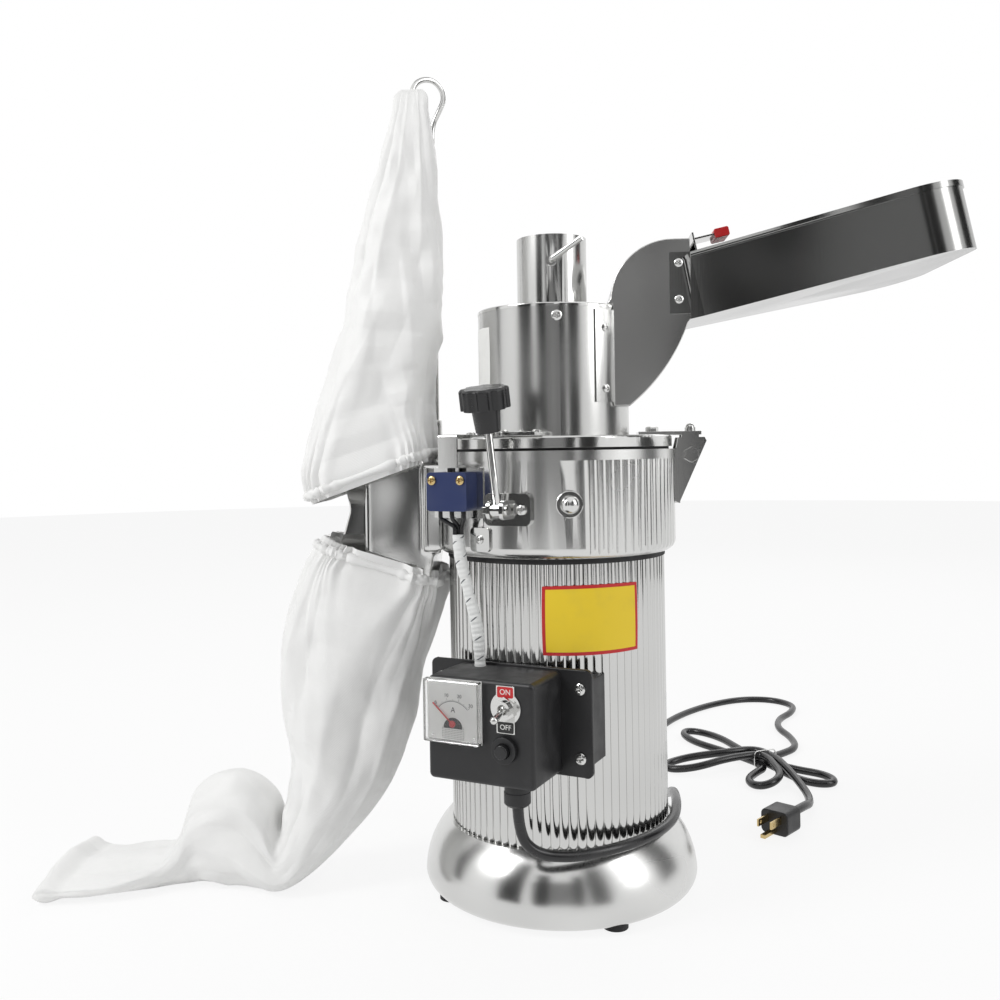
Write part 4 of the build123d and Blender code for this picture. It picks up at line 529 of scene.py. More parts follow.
def letters(name, text, size, x, z, face, finish, body="frame"):
    """Plain printed characters as a thin mesh on the front of the control box."""
    curve = bpy.data.curves.new(name, "FONT")
    curve.body = text
    curve.size = size * MM
    curve.align_x = "CENTER"
    curve.align_y = "CENTER"
    curve.extrude = 0.05 * MM
    mesh = meshed(curve)
    stand = Matrix.Rotation(FRONT, 4, "Z") @ Matrix.Translation(Vector((x, -face, z)) * MM)
    mesh.transform(stand @ Matrix.Rotation(math.pi / 2, 4, "X"))
    mesh.materials.clear()
    mesh.materials.append(FINISHES[finish])
    piece = put(name, mesh)
    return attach(piece, body)


def standing(facing):
    """The turn that stands the Z axis along a direction."""
    return np.array(Vector(facing).to_track_quat("Z", "Y").to_matrix())


def set_heads(head, seats):
    """Sets a unit head, a grid of points, on seats of place, direction, radius and height."""
    quads = grid_quads(*head.shape[:2])
    points, faces = [], []
    for k, (seat, facing, radius, height) in enumerate(seats):
        spot = (head * (radius, radius, height)).reshape(-1, 3)
        points.append(spot @ standing(facing).T + np.array(seat))
        faces.append(quads + k * len(spot))
    return np.concatenate(points), np.concatenate(faces)


def screw_heads(seats, phillips=True):
    """Pan heads as polar grids: a dome over the radius, less a cross whose arms fade in depth outwards."""
    rings = np.array([0.0, 0.1, 0.2, 0.28, 0.34, 0.42, 0.5, 0.56, 0.62, 0.7, 0.8, 0.9, 0.97, 1.0, 1.0])
    turn = np.linspace(0, 2 * np.pi, 49)
    x = rings[:, None] * np.cos(turn)
    y = rings[:, None] * np.sin(turn)
    dome = np.broadcast_to((1 - 0.45 * rings ** 3)[:, None], x.shape).copy()
    dome[-1] = 0.0
    if phillips:
        arm = np.minimum(np.abs(x), np.abs(y))
        reach = np.maximum(np.abs(x), np.abs(y))
        inside = np.clip((0.17 - arm) / 0.06, 0, 1) * np.clip((0.62 - reach) / 0.08, 0, 1)
        dome = dome - 0.75 * inside * np.clip(1.15 - reach, 0, 1)
    return set_heads(np.stack([x, y, dome], -1), seats)


def hex_heads(seats):
    """Hex heads: six flats, a chamfered crown and a flat top."""
    return set_heads(spun_profile([(1.0, 0.0), (1.0, 0.8), (0.86, 1.0), (0.0, 1.0)], 6), seats)


def crown(radius, foot, rise, start, steps):
    """The upper quarter of an oval as (radius, height), from its foot to its tip."""
    t = np.linspace(start, math.pi / 2, steps)
    return list(zip(radius * np.cos(t), foot + rise * np.sin(t)))


def round_at(angle, radius, z):
    a = math.radians(angle)
    return (radius * math.cos(a), radius * math.sin(a), z), (math.cos(a), math.sin(a), 0.0)


def front_at(x, y, z):
    return tuple(turned(np.array([x, y, z], float), FRONT)), AHEAD


def at_switch(x, y, z):
    p = turned(np.array([x, y, 0.0]), FRONT)
    return (p[0] + SWITCH_OUT * math.cos(SWITCH_ANGLE), p[1] + SWITCH_OUT * math.sin(SWITCH_ANGLE), z)


def ripple(values, seed, lengths, strength):
    """Crumple: a sum of slanted sine waves of fixed random phases over the cloth's own map."""
    rng = np.random.default_rng(seed)
    out = np.zeros(values.shape[:2])
    for length in lengths:
        for _ in range(3):
            slant = rng.uniform(-0.9, 0.9)
            phase = rng.uniform(0, 2 * np.pi)
            run = values[..., 0] * math.cos(slant) + values[..., 1] * math.sin(slant)
            out += np.sin(run * 2 * np.pi / length + phase) * length * strength
    return out


def facets(turn, share, count, rings, seed, drift):
    """Creased panels: random heights at the knots of a net round and along the sleeve, joined by
    straight runs, so that crisp creases stay at the knots, and skewed by the drift."""
    heights = np.random.default_rng(seed).uniform(-1, 1, (rings + 1, count))
    u = (turn / (2 * np.pi) * count + drift * share) % count
    v = np.broadcast_to(share * rings, u.shape)
    i = np.minimum(v.astype(int), rings - 1)
    k = u.astype(int) % count
    fu, fv = u - np.floor(u), v - i
    near = heights[i, k] * (1 - fu) + heights[i, (k + 1) % count] * fu
    far = heights[i + 1, k] * (1 - fu) + heights[i + 1, (k + 1) % count] * fu
    return near * (1 - fv) + far * fv


# How the bags' cloth lies: powers of the sections, then fades in millimetres or in shares of the length
SECTION_POWER = 0.85
MOUTH_POWER = 0.3
MOUTH_REACH = 20.0
MOUTH_BLEND = 90.0
CREASE_ROUND = 0.02
CREASE_FADE = 0.12
CLOTH_R = 40.0
CLOTH_SIDES = 240
CRUMPLE = 0.006
CRUMPLE_FADE = 0.1
FINE_PLEATS = 34
FINE_FADE = 14.0
BROAD_PLEATS = 7
BROAD_FADE = 55.0
BROAD_START = 12.0
FULL_GIRTH = 60.0


def cloth_sleeve(stations, creases, sizes, steps, seed, crumple):
    """A sleeve of cloth: flattened rings carried along stations of centre, heading and half sizes. Each
    crease is a ridge that falls off on both sides and drifts round the sleeve; panels, crumple and mouth
    pleats are added to it, and the sum is laid on along the ring's own outward direction."""
    depth = sizes.fold_depth
    stations = np.array(stations)
    reach = run_lengths(stations[:, :3])
    run = np.linspace(0, reach[-1], steps)
    rows = smooth_rows(reach, stations, run)
    heading = rows[:, 3:5] / np.linalg.norm(rows[:, 3:5], axis=1)[:, None]
    wide = np.stack([heading[:, 1], np.zeros(steps), -heading[:, 0]], -1)
    half_wide, half_deep = rows[:, 5:6], rows[:, 6:7]
    turn = np.linspace(0, 2 * np.pi, CLOTH_SIDES + 1)[None, :]
    c, s = np.cos(turn), np.sin(turn)
    at = run[:, None]
    share = at / reach[-1]
    power = MOUTH_POWER + (SECTION_POWER - MOUTH_POWER) * np.clip((at - MOUTH_REACH) / MOUTH_BLEND, 0, 1)
    lift = np.zeros((steps, CLOTH_SIDES + 1))
    for place, drift, width, height, start, stop in creases:
        off = (turn - place - drift * share + np.pi) % (2 * np.pi) - np.pi
        ridge = np.exp(-np.sqrt((off / width) ** 2 + CREASE_ROUND))
        window = np.clip((share - start) / CREASE_FADE, 0, 1) * np.clip((stop - share) / CREASE_FADE, 0, 1)
        lift += depth * height * ridge * window
    for count, rings, height, drift in FACETS:
        lift += depth * height * facets(turn, share, count, rings, seed + count, drift)
    cut = np.stack(np.broadcast_arrays(turn * CLOTH_R, at), -1)
    calm = 1 - np.cos(turn / 2) ** 8
    lift += ripple(cut, seed, crumple, CRUMPLE) * np.clip(share / CRUMPLE_FADE, 0, 1) * calm
    fine = np.exp(-at / FINE_FADE) * np.sin(FINE_PLEATS * turn + 3 * np.sin(5 * turn))
    broad = np.exp(-at / BROAD_FADE) * np.abs(np.sin(BROAD_PLEATS * turn + np.sin(3 * turn)))
    pleat = sizes.gather_depth * (fine + 1.2 * broad * np.clip(at / BROAD_START, 0, 1))
    lift = (lift + pleat) * np.clip((half_wide + half_deep) / FULL_GIRTH, 0.12, 1.0)
    across = half_wide * np.sign(c) * np.abs(c) ** power + lift * c
    grid = rows[:, None, :3] + wide[:, None, :] * across[..., None]
    grid[..., 1] += half_deep * np.sign(s) * np.abs(s) ** power + lift * s
    return grid, cut * MM


def amount(label, words, value, low, high):
    return bpy.props.FloatProperty(name=label, description=words, default=value, min=low, max=high)


def colour(label, words, value):
    return bpy.props.FloatVectorProperty(
        name=label, description=words, subtype="COLOR", size=3, min=0.0, max=1.0, default=value)


class GrinderSizes(bpy.types.PropertyGroup):
    """Sizes that a user would change"""

    fold_depth: amount("Fold depth", "Share of the full height of the folds in the bags", 1.0, 0.0, 2.0)
    gather_depth: amount("Gather depth", "Height of the pleats at the elastic mouths, in mm", 2.6, 0.0, 6.0)
    edge_round: amount("Edge rounding", "Rounding of the hardware's edges, in mm", 0.5, 0.1, 1.5)


class GrinderColours(bpy.types.PropertyGroup):
    """Colours that a user would change"""

    steel: colour("Steel", "Polished sheet steel", (0.62, 0.62, 0.61))
    aluminium: colour("Aluminium", "Polished castings", (0.70, 0.70, 0.69))
    black: colour("Black", "Control box, knob and cord", (0.012, 0.012, 0.013))
    blue: colour("Blue", "Lid switch", (0.010, 0.024, 0.105))
    red: colour("Red", "Gate grip and panel print", (0.55, 0.012, 0.015))
    yellow: colour("Yellow", "Bare plate on the housing", (0.86, 0.62, 0.02))
    cloth: colour("Cloth", "Dust bags", (0.90, 0.90, 0.89))
    brass: colour("Brass", "Plug blades and switch screws", (0.66, 0.50, 0.24))


def make_finishes(c):
    FINISHES.update(
        steel=polished_metal("polished_steel", c.steel, 0.09, 1400.0),
        hopper=polished_metal("hopper_steel", darker(c.steel, 0.55), 0.16, 900.0),
        satin=polished_metal("satin_steel", darker(c.steel, 0.98), 0.19, 1100.0),
        brushed=polished_metal("brushed_steel", darker(c.steel, 0.95), 0.2, 900.0, 0.004),
        chute=cast_metal("chute_casting", c.aluminium, 0.13, 0.009),
        cast=cast_metal("cast_aluminium", c.aluminium, 0.2),
        turned=cast_metal("turned_aluminium", c.aluminium, 0.13),
        bright=polished_metal("bright_plating", darker(c.steel, 1.1), 0.12, 2200.0),
        tool=cast_metal("tool_steel", darker(c.steel, 0.7), 0.3),
        rubber=moulded("black_rubber", c.black, 0.7),
        black=moulded("black_satin", c.black, 0.42),
        gloss_black=moulded("black_gloss", c.black, 0.25, 300.0, 0.00003),
        blue=moulded("blue_plastic", c.blue, 0.45),
        red=moulded("red_plastic", c.red, 0.3),
        yellow=moulded("yellow_plate", c.yellow, 0.4, 400.0, 0.00002),
        white=moulded("white_card", (0.8, 0.8, 0.78), 0.5, 900.0, 0.00001),
        ink=moulded("black_ink", (0.02, 0.02, 0.02), 0.6, 900.0, 0.00001),
        brass=cast_metal("brass", c.brass, 0.25),
        cloth=woven_cloth("white_cloth", c.cloth),
        braid=braided("white_braid", (0.80, 0.81, 0.80), (0.10, 0.11, 0.12)),
        clear=clear_plastic("clear_cover"),
        grille=punched("meter_grille", (0.72, 0.72, 0.70), (0.10, 0.10, 0.10)),
    )


def dress_all(body, rows):
    """Dresses rows of nodes, finish and, where edges are rounded, their width."""
    for nodes, finish, *bevel in rows:
        for node in nodes.split():
            dress(node, body, finish, *bevel)


def make_machine(sizes):
    edge = sizes.edge_round
    soft_cast("discharge_chute", "frame", "chute", grain=1.3, rounds=14)
    round_edges(dress("feed_elbow", "lid", "brushed"), width=0.8, chosen=elbow_side_edge)
    dress_all("frame", [
        ("base_casting", "cast"),
        ("chamber_body", "cast", 0.6),
        ("motor_housing", "steel"),
        ("bottom_cover", "bright"),
        ("rubber_feet housing_gasket chamber_seals", "rubber"),
        ("bearing_plates shaft_bearings motor_stator liner_ring", "tool"),
    ])
    dress_all("rotor", [("rotor_shaft armature hammer_disc hammers impeller", "tool")])
    dress_all("lid", [
        ("lid_plate neck_cap", "turned", edge),
        ("neck_cylinder", "satin"),
        ("feed_hopper", "hopper"),
        ("hinge_leaf clamp_lug switch_strap", "bright", edge),
    ])
    dress("fineness_tube", "fineness_dial", "satin", 0.4)
    dress("fineness_sleeve", "sleeve", "steel")
    dress("hopper_gate", "gate", "steel", 0.3)
    dress("gate_grip", "gate", "red", edge)


def make_hardware(sizes):
    edge = sizes.edge_round
    round_edges(dress("control_box", "frame", "black"), width=1.2, chosen=long_edge)
    dress_all("frame", [
        ("hinge_bracket pivot_pins clamp_yoke switch_bracket", "bright", edge),
        ("switch_body", "blue", edge),
        ("switch_wires", "gloss_black"),
        ("ammeter_case", "white"),
        ("ammeter_window", "clear", 0.3),
        ("toggle_bush", "bright", 0.2),
        ("reset_bush", "black", 0.6),
        ("cable_gland", "black", 0.5),
    ])
    dress("swing_bolt", "bolt", "bright")
    dress("clamp_knob", "knob", "gloss_black", edge)
    dress("switch_plunger", "plunger", "black", 0.3)
    dress("ammeter_needle", "needle", "red")
    dress("toggle_lever", "toggle", "bright")
    dress("reset_button", "reset", "gloss_black", 0.4)


ROD_R = 2.4
ROD_AT = (-103.0, 46.0)
HOOK_ROUTE = [
    (*ROD_AT, 381),
    (*ROD_AT, 500),
    (*ROD_AT, 620),
    (*ROD_AT, 638),
    (-97, 43.5, 648),
    (-90, 38, 660),
    (-97, 30, 671.5),
    (-109, 21, 670),
    (-116, 14, 660),
    (-117, 13, 646),
]
# Profile of the rod's ferrule, as radius and height
FERRULE = [(0.0, 341.5), (4.2, 341.5), (4.6, 342.2), (4.6, 379.0), (4.0, 380.0), (ROD_R, 380.6),
           (ROD_R, 383.0), (0.0, 383.0)]


def make_hanger():
    line = spline_points(HOOK_ROUTE)
    lay_surface("hanger_hook", capped(carried(line, ROD_R, sides=24), line), "bright")
    ferrule = spun_profile(FERRULE, 40) + np.array([*ROD_AT, 0.0])
    rod = lay_surface("hanger_ferrule", ferrule, "bright")
    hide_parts("hanger_rod")


UP = (0.0, 0.0, 1.0)
DOWN = (0.0, 0.0, -1.0)
PAD_R = CHAMBER_R + 3.5
FOOT_SCREWS_R = 95.0
COVER_SCREWS_R = 72.0


def make_fasteners():
    pans = [(round_at(a, FOOT_SCREWS_R, 3.0)[0], DOWN, 4.2, 2.2) for a in (25, 115, 205, 295)]
    pans += [(round_at(a, COVER_SCREWS_R, 7.5)[0], DOWN, 3.0, 1.8) for a in (70, 160, 250, 340)]
    pans += [((PAD_R, 0, z), (1.0, 0.0, 0.0), 3.6, 2.2) for z in (316.0, 332.0)]
    pans += [(*front_at(17.0, -PAD_R, PIVOT_Z), 3.8, 2.4)]
    pans += [(*front_at(x, -BOX_BACK, z), 4.2, 2.4) for x in (-57.0, 57.0) for z in (130.0, 180.0)]
    pans += [(*round_at(235.5, CHAMBER_R + 2, 286.0), 3.2, 1.8)]
    body = lay_mesh("body_screw_heads", *screw_heads(pans), "bright")
    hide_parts("body_screws")
    seat, out = round_at(276.5, CHAMBER_R, 312.5)
    profile = [(10.0, -1.0), (10.0, 1.1), (9.5, 1.5), (7.0, 1.5), (7.0, 3.6)]
    profile += crown(7.0, foot=3.6, rise=6.4, start=0.1, steps=12)
    dome = spun_profile(profile, 48) @ standing(out).T + np.array(seat)
    lay_surface("dome_screw", dome, "turned")
    lids = [(*round_at(a, NECK_R, 455.5), 4.0, 2.2) for a in (273.5, 33.5, 153.5)]
    lids += [(*round_at(a, NECK_R + 1.5, z), 3.2, 1.8) for a in (-49, 49) for z in (399.5, 447.0)]
    lids += [((99.0, s * 41.5, z), (0.0, s, 0.0), 3.3, 1.9) for s in (-1.0, 1.0) for z in (468.0, 496.5)]
    lids += [(front_at(x, -78.0, LID_SEAT)[0], UP, 3.6, 2.2) for x in (-8.0, 20.0)]
    lids += [(at_switch(0.0, 32.0, 365.0), UP, 3.6, 2.2)]
    lid = lay_mesh("lid_screw_heads", *screw_heads(lids), "bright", body="lid")
    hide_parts("lid_screws")
    bolts = [((80.0, y, LID_SEAT), UP, 4.6, 4.0) for y in (-8.0, 8.0)]
    lay_mesh("leaf_bolts", *hex_heads(bolts), "bright", body="lid")
    acorn = [(4.5, 0.0), (4.5, 3.0)] + crown(3.8, foot=3.0, rise=3.8, start=0.0, steps=10)
    stud = spun_profile(acorn, 32) + np.array([PIN_X + 1.0, 0.0, LID_SEAT])
    lay_surface("stop_stud", stud, "bright", body="lid")
    brass = [(at_switch(x, -8.5, 331.0), AHEAD, 3.4, 2.0) for x in (-12.0, 12.0)]
    switch = lay_mesh("switch_screw_heads", *screw_heads(brass), "brass")
    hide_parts("switch_screws")


# Stations of the bags: centre, heading in the XZ plane, half width and half depth
UPPER_BAG = [
    (-149, 0, 328, -0.33, 0.944, 49, 40),
    (-150.5, 0, 335, -0.33, 0.944, 51.5, 40.2),
    (-152, 0, 346, -0.32, 0.947, 52.5, 40.4),
    (-151.5, 0, 366, -0.28, 0.95, 50.5, 40),
    (-145, -3, 410, -0.05, 1, 43.5, 35),
    (-133, -5, 460, 0.1, 1, 41.5, 29),
    (-125, -8, 520, 0.12, 1, 35, 20),
    (-117.5, -7, 580, 0.1, 1, 24, 12),
    (-115, -1, 636, 0.05, 1, 15, 6.5),
    (-115, 3, 652, 0, 1, 12, 3.5),
    (-115, 4, 655.5, 0, 1, 9, 0.5),
]
LOWER_BAG = [
    (-139.5, 0, 270, -0.3, -0.95, 46, 41.5),
    (-142.5, 0, 261, -0.3, -0.95, 49.5, 42.5),
    (-152.5, 0, 237, -0.26, -0.96, 55, 42),
    (-166.5, 0, 190, -0.18, -0.98, 58.5, 38),
    (-175.5, -1, 140, -0.1, -0.99, 54.5, 36),
    (-185.5, -3, 84, -0.35, -0.94, 41, 36),
    (-203.5, -6, 46, -0.65, -0.76, 25, 37),
    (-227.5, -9, 21, -1, -0.1, 19, 38),
    (-243, -10.5, 31, -1, 0.2, 29, 34),
    (-257, -12, 39, -1, 0.1, 37, 30),
    (-286, -13.5, 39.5, -1, 0, 38, 25),
    (-301, -14, 33, -1, -0.1, 31, 22),
    (-310, -14, 22, -1, -0.1, 20, 23),
    (-322, -14, 15, -1, 0, 13, 27),
    (-342.5, -14, 12, -1, 0, 10.5, 38),
    (-367.5, -14, 10, -1, 0, 9, 45),
    (-392.5, -14, 9, -1, 0, 8, 49),
    (-415, -14, 8, -1, 0, 6, 51),
    (-416.5, -14, 7, -1, 0, 1, 50),
]
# Creased panels of both bags: count round the sleeve, rings along it, height, and drift in panels
FACETS = [(8, 5, 4.6, 1.6), (14, 11, 3.0, -3.1), (25, 24, 1.5, 5.3)]
# Creases: place round the sleeve, drift round it over the length, half width, height, first and last share
UPPER_CREASES = [
    (5.9, -1.9, 0.30, 5.0, 0.10, 0.80),
    (5.2, -1.6, 0.22, -4.0, 0.05, 0.62),
    (4.75, -0.5, 0.26, 4.2, 0.04, 0.55),
    (4.3, 0.3, 0.16, 3.4, 0.30, 1.10),
    (3.75, 0.35, 0.12, -3.0, 0.35, 1.10),
    (5.35, -0.2, 0.14, 2.6, 0.55, 1.10),
    (3.4, 0.8, 0.20, 3.0, 0.02, 0.45),
    (6.1, 0.3, 0.16, -2.6, 0.00, 0.40),
    (1.2, 0.9, 0.28, 4.4, 0.05, 1.00),
    (2.2, -0.9, 0.24, -4.0, 0.05, 1.00),
    (0.5, 0.5, 0.20, 3.4, 0.10, 1.00),
]
LOWER_CREASES = [
    (4.55, 0.9, 0.22, 4.6, 0.03, 0.45),
    (4.2, 0.6, 0.16, -3.2, 0.05, 0.50),
    (4.95, -0.3, 0.26, 3.6, 0.02, 0.42),
    (5.4, -0.9, 0.18, 3.4, 0.04, 0.40),
    (3.8, 0.5, 0.14, 2.8, 0.10, 0.60),
    (5.9, -0.4, 0.16, -2.8, 0.08, 0.55),
    (4.7, 2.2, 0.26, 5.0, 0.42, 0.86),
    (4.1, -2.4, 0.22, -4.6, 0.48, 0.84),
    (5.5, 1.6, 0.20, 4.0, 0.55, 0.95),
    (0.9, -1.1, 0.24, 4.0, 0.05, 0.95),
    (2.0, 0.8, 0.28, -4.2, 0.05, 0.95),
]


# A hem's size in its map, in metres, the row of the sleeve it lies on, and the cloth's least height
HEM_MAP = (0.3, 0.02)
HEM_ROW = 6
LOWEST = 0.4


def mouth_band(name, grid, radius):
    """The elastic hem: a thin roll of cloth round a mouth, with pleats squeezed along it."""
    ring = grid[HEM_ROW, :-1]
    turn = np.linspace(0, 2 * np.pi, len(ring), endpoint=False)
    roll = radius * (1 + 0.28 * np.sin(46 * turn + 2 * np.sin(7 * turn)))
    points = carried(ring, roll[:, None], sides=14, closed=True)
    length, width = (np.linspace(0, size, n) for size, n in zip(HEM_MAP, points.shape))
    uv = np.stack(np.meshgrid(length, width, indexing="ij"), -1)
    return lay_surface(name, points, "cloth", uv)


def make_bags(sizes):
    grid, uv = cloth_sleeve(UPPER_BAG, UPPER_CREASES, sizes, steps=280, seed=11, crumple=(64, 34, 19))
    upper = lay_surface("upper_bag_cloth", grid, "cloth", uv)
    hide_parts("upper_bag")
    hem = mouth_band("upper_bag_hem", grid, 3.4)
    grid, uv = cloth_sleeve(LOWER_BAG, LOWER_CREASES, sizes, steps=340, seed=23, crumple=(70, 36, 20))
    grid[..., 2] = np.maximum(grid[..., 2], LOWEST)
    lower = lay_surface("lower_bag_cloth", grid, "cloth", uv)
    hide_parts("lower_bag")
    hem = mouth_band("lower_bag_hem", grid, 3.6)


FLOOR_Z = CORD_R + 0.05
RIM_Z = 60.5
STRAND_STEP = 2 * CORD_R + 0.8
LOW_LAYER = CORD_R + 1.6
HIGH_LAYER = LOW_LAYER + STRAND_STEP
WAIST = (223.0, 290.0)
WAIST_TURN = math.radians(115.0)
WAIST_HALF = 13.0
PLUG_AT = (217.0, 124.0, 11.05)
PLUG_AIM = Vector((-0.64, -0.768, 0.0)).normalized()
PLUG_LEAD = 22.0
CORD_EXIT = (-29.287, -120.117, 107.0)
FLOOR_ROUTE = [
    (98.5, 255), (100, 320), (107, 385), (125, 445), (156, 500),
    (198, 548), (245, 580), (288, 578), (311, 546), (300, 509),
    (276, 476), (266, 435), (274, 394), (271, 352), (248, 327),
]
CORD_ROUTE = [
    CORD_EXIT,
    (CORD_EXIT[0], CORD_EXIT[1], CORD_EXIT[2] - 26),
    (-17, -117, 65),
    (7, -110, 60),
    (33, -99, RIM_Z),
    (58, -80.5, RIM_Z),
    (77.5, -57.5, RIM_Z),
    (90.5, -30, RIM_Z),
    (95.8, 2, RIM_Z),
    (98, 40, 57),
    (100, 85, 43),
    (101, 140, 22),
    (100, 195, 8),
    *((x, y, FLOOR_Z) for x, y in FLOOR_ROUTE),
]
# One loop of the hank: shares of its length and of its half width
LEAF = [(0.40, 0.55), (0.70, 1.0), (0.92, 0.68), (1.0, 0.0), (0.92, -0.68), (0.70, -1.0), (0.40, -0.55)]


def from_waist(angle, u, v, z):
    """The place that lies u along a direction from the hank's waist and v to its left."""
    c, s = math.cos(angle), math.sin(angle)
    return (WAIST[0] + u * c - v * s, WAIST[1] + u * s + v * c, z)


def strand(across, z, heading, before=WAIST_HALF, after=WAIST_HALF):
    """Both ends of one strand where it passes through the tie."""
    return [from_waist(WAIST_TURN, u, across, z) for u in (-heading * before, heading * after)]


def loop(angle, length, half, side, heights):
    """One loop of the hank: a leaf shape out from the waist and back."""
    turn = math.radians(angle)
    return [from_waist(turn, a * length, b * half * side, z) for (a, b), z in zip(LEAF, heights)]


def hank_route():
    flat = [FLOOR_Z] * 7
    climb = [FLOOR_Z, FLOOR_Z, FLOOR_Z, 6.0, 9.5, 12.5, HIGH_LAYER]
    arch = [HIGH_LAYER, 8.0, FLOOR_Z, FLOOR_Z, FLOOR_Z, 8.0, HIGH_LAYER]
    points = strand(-STRAND_STEP, LOW_LAYER, -1) + loop(312.0, 85.0, 17.0, 1, flat)
    points += strand(0.0, LOW_LAYER, 1) + loop(118.0, 150.0, 19.0, -1, flat)
    points += strand(STRAND_STEP, LOW_LAYER, -1) + loop(258.0, 80.0, 17.0, -1, climb)
    points += strand(STRAND_STEP / 2, HIGH_LAYER, 1, after=6.0) + loop(184.0, 112.0, 19.0, 1, arch)
    points += strand(-STRAND_STEP / 2, HIGH_LAYER, -1, before=24.0)
    points += [(236.0, 252.0, HIGH_LAYER), (243.0, 222.0, 8.0), (246.0, 190.0, FLOOR_Z), (240.0, 160.0, 6.0)]
    lead = Vector(PLUG_AT) - PLUG_AIM * PLUG_LEAD
    return points + [tuple(lead), PLUG_AT]


def make_cord():
    curve = bpy.data.curves.new("mains_cord", "CURVE")
    curve.dimensions = "3D"
    curve.bevel_depth = CORD_R * MM
    curve.bevel_resolution = 5
    curve.use_fill_caps = True
    add_spline(curve, CORD_ROUTE + hank_route())
    curve.materials.append(FINISHES["gloss_black"])
    cord = put("mains_cord", curve)
    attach(cord, "frame")
    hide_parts("cord_run", "cord_hank")
    plug = dress("plug_body", "frame", "black", 1.2)
    blades = dress("plug_blades", "frame", "brass", 0.2)
    tie = dress("cord_tie", "frame", "bright", 0.3)


SLEEVE_R = 4.4
SLEEVE_ROUTE = [(-72.53, -79.08, 290.0), (-72.53, -79.08, 276.0), (-64.53, -81.08, 244.0),
                (-57.45, -82.62, 214.0), (-57.45, -82.62, 192.0)]


def make_sleeve():
    line = spline_points(SLEEVE_ROUTE)
    reach = run_lengths(line)
    at = np.linspace(0, reach[-1], 160)
    path = np.stack([np.interp(at, reach, line[:, k]) for k in range(3)], -1)
    swell = SLEEVE_R + 0.12 * np.sin(at * 0.9) + 0.25 * np.sin(at * 0.11)
    grid = capped(carried(path, swell[:, None], sides=32), path)
    lengths = np.concatenate([[0], at, at[-1:]]) * MM
    uv = np.stack(np.meshgrid(lengths, np.linspace(0, 1, 33), indexing="ij")[::-1], -1)
    sleeve = lay_surface("braided_sleeve", grid, "braid", uv)
    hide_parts("wire_sleeve")


# The meter's scale: half its angle, radii of its line, marks and numbers, and half a mark's angle
SCALE_HALF = math.radians(48.0)
SCALE_LINE = (15.6, 15.9)
MARK_FOOT = 15.8
MARK_HALF = 0.006
NUMBER_X = 19.082
NUMBER_Z = 20.4
PRINT_LIFT = 0.06


def scale_at(share):
    return -SCALE_HALF + 2 * SCALE_HALF * share


def make_scale(dial):
    """The scale's line and its marks as flat bands, with taller marks at every fifth and tenth."""
    level = -dial - PRINT_LIFT
    bands = [scale_band(*SCALE_LINE, -SCALE_HALF, SCALE_HALF, level, steps=48)]
    for k in range(31):
        a = scale_at(k / 30)
        tall = 18.4 if k % 10 == 0 else 17.4 if k % 5 == 0 else 16.7
        bands.append(scale_band(MARK_FOOT, tall, a - MARK_HALF, a + MARK_HALF, level, steps=2))
    points, faces, start = [], [], 0
    for band in bands:
        n = band.shape[1]
        k = np.arange(n - 1)
        points.append(band.reshape(-1, 3))
        faces.append(np.stack([k, k + 1, k + 1 + n, k + n], -1) + start)
        start += 2 * n
    lay_mesh("meter_scale", turned(np.concatenate(points), FRONT), np.concatenate(faces), "ink")


def make_panel():
    dial = BOX_FACE + 1.5
    make_scale(dial)
    for k, text in enumerate(("0", "10", "20", "30")):
        a = scale_at(k / 3)
        x, z = METER_X + NUMBER_X * math.sin(a), NEEDLE_Z + NUMBER_Z * math.cos(a)
        letters("meter_number_" + text, text, 3.6, x, z, dial + PRINT_LIFT, "ink")
    letters("meter_unit", "A", 5.4, METER_X, NEEDLE_Z + 9.6, dial + PRINT_LIFT, "ink")
    t = np.linspace(0, math.pi, 32)
    moon = np.stack([METER_X + 7.4 * np.cos(t), NEEDLE_Z - 3.2 + 7.4 * np.sin(t)], -1)
    lay_surface("meter_boss", flat_plate(moon, dial, 0.8), "ink")
    grille = rounded_outline(METER_X, METER_Z - 15.6, 9.0, 4.6, 1.6)
    lay_surface("meter_grille", flat_plate(grille, dial, 0.3), "grille")
    dots = [(*front_at(METER_X + x, -dial, METER_Z - 18.2), 0.9, 0.5) for x in (-17.0, 17.0)]
    lay_mesh("meter_screws", *screw_heads(dots, phillips=False), "bright")
    back = BOX_FACE + 1.0
    plate = rounded_outline(TOGGLE_X, TOGGLE_Z - 1.0, 7.0, 16.5, 1.5)
    lay_surface("toggle_border", flat_plate(plate, back, 0.1), "white")
    for word, size, rise, field in (("on", 5.4, 11.2, "red"), ("off", 5.0, -13.2, "ink")):
        outline = rounded_outline(TOGGLE_X, TOGGLE_Z + rise, 6.2, 3.8, 1.2)
        lay_surface(f"toggle_{word}_field", flat_plate(outline, back + 0.1, 0.08), field)
        letters("toggle_" + word, word.upper(), size, TOGGLE_X, TOGGLE_Z + rise, back + 0.2, "white")


PLATE_ANGLES = (math.radians(263.0), math.radians(314.0))
PLATE_LEVELS = (200.0, 252.0)
PLATE_RIM = 2.6
LABEL_ANGLES = (math.radians(184.0), math.radians(216.0))
LABEL_LEVELS = (404.0, 451.0)


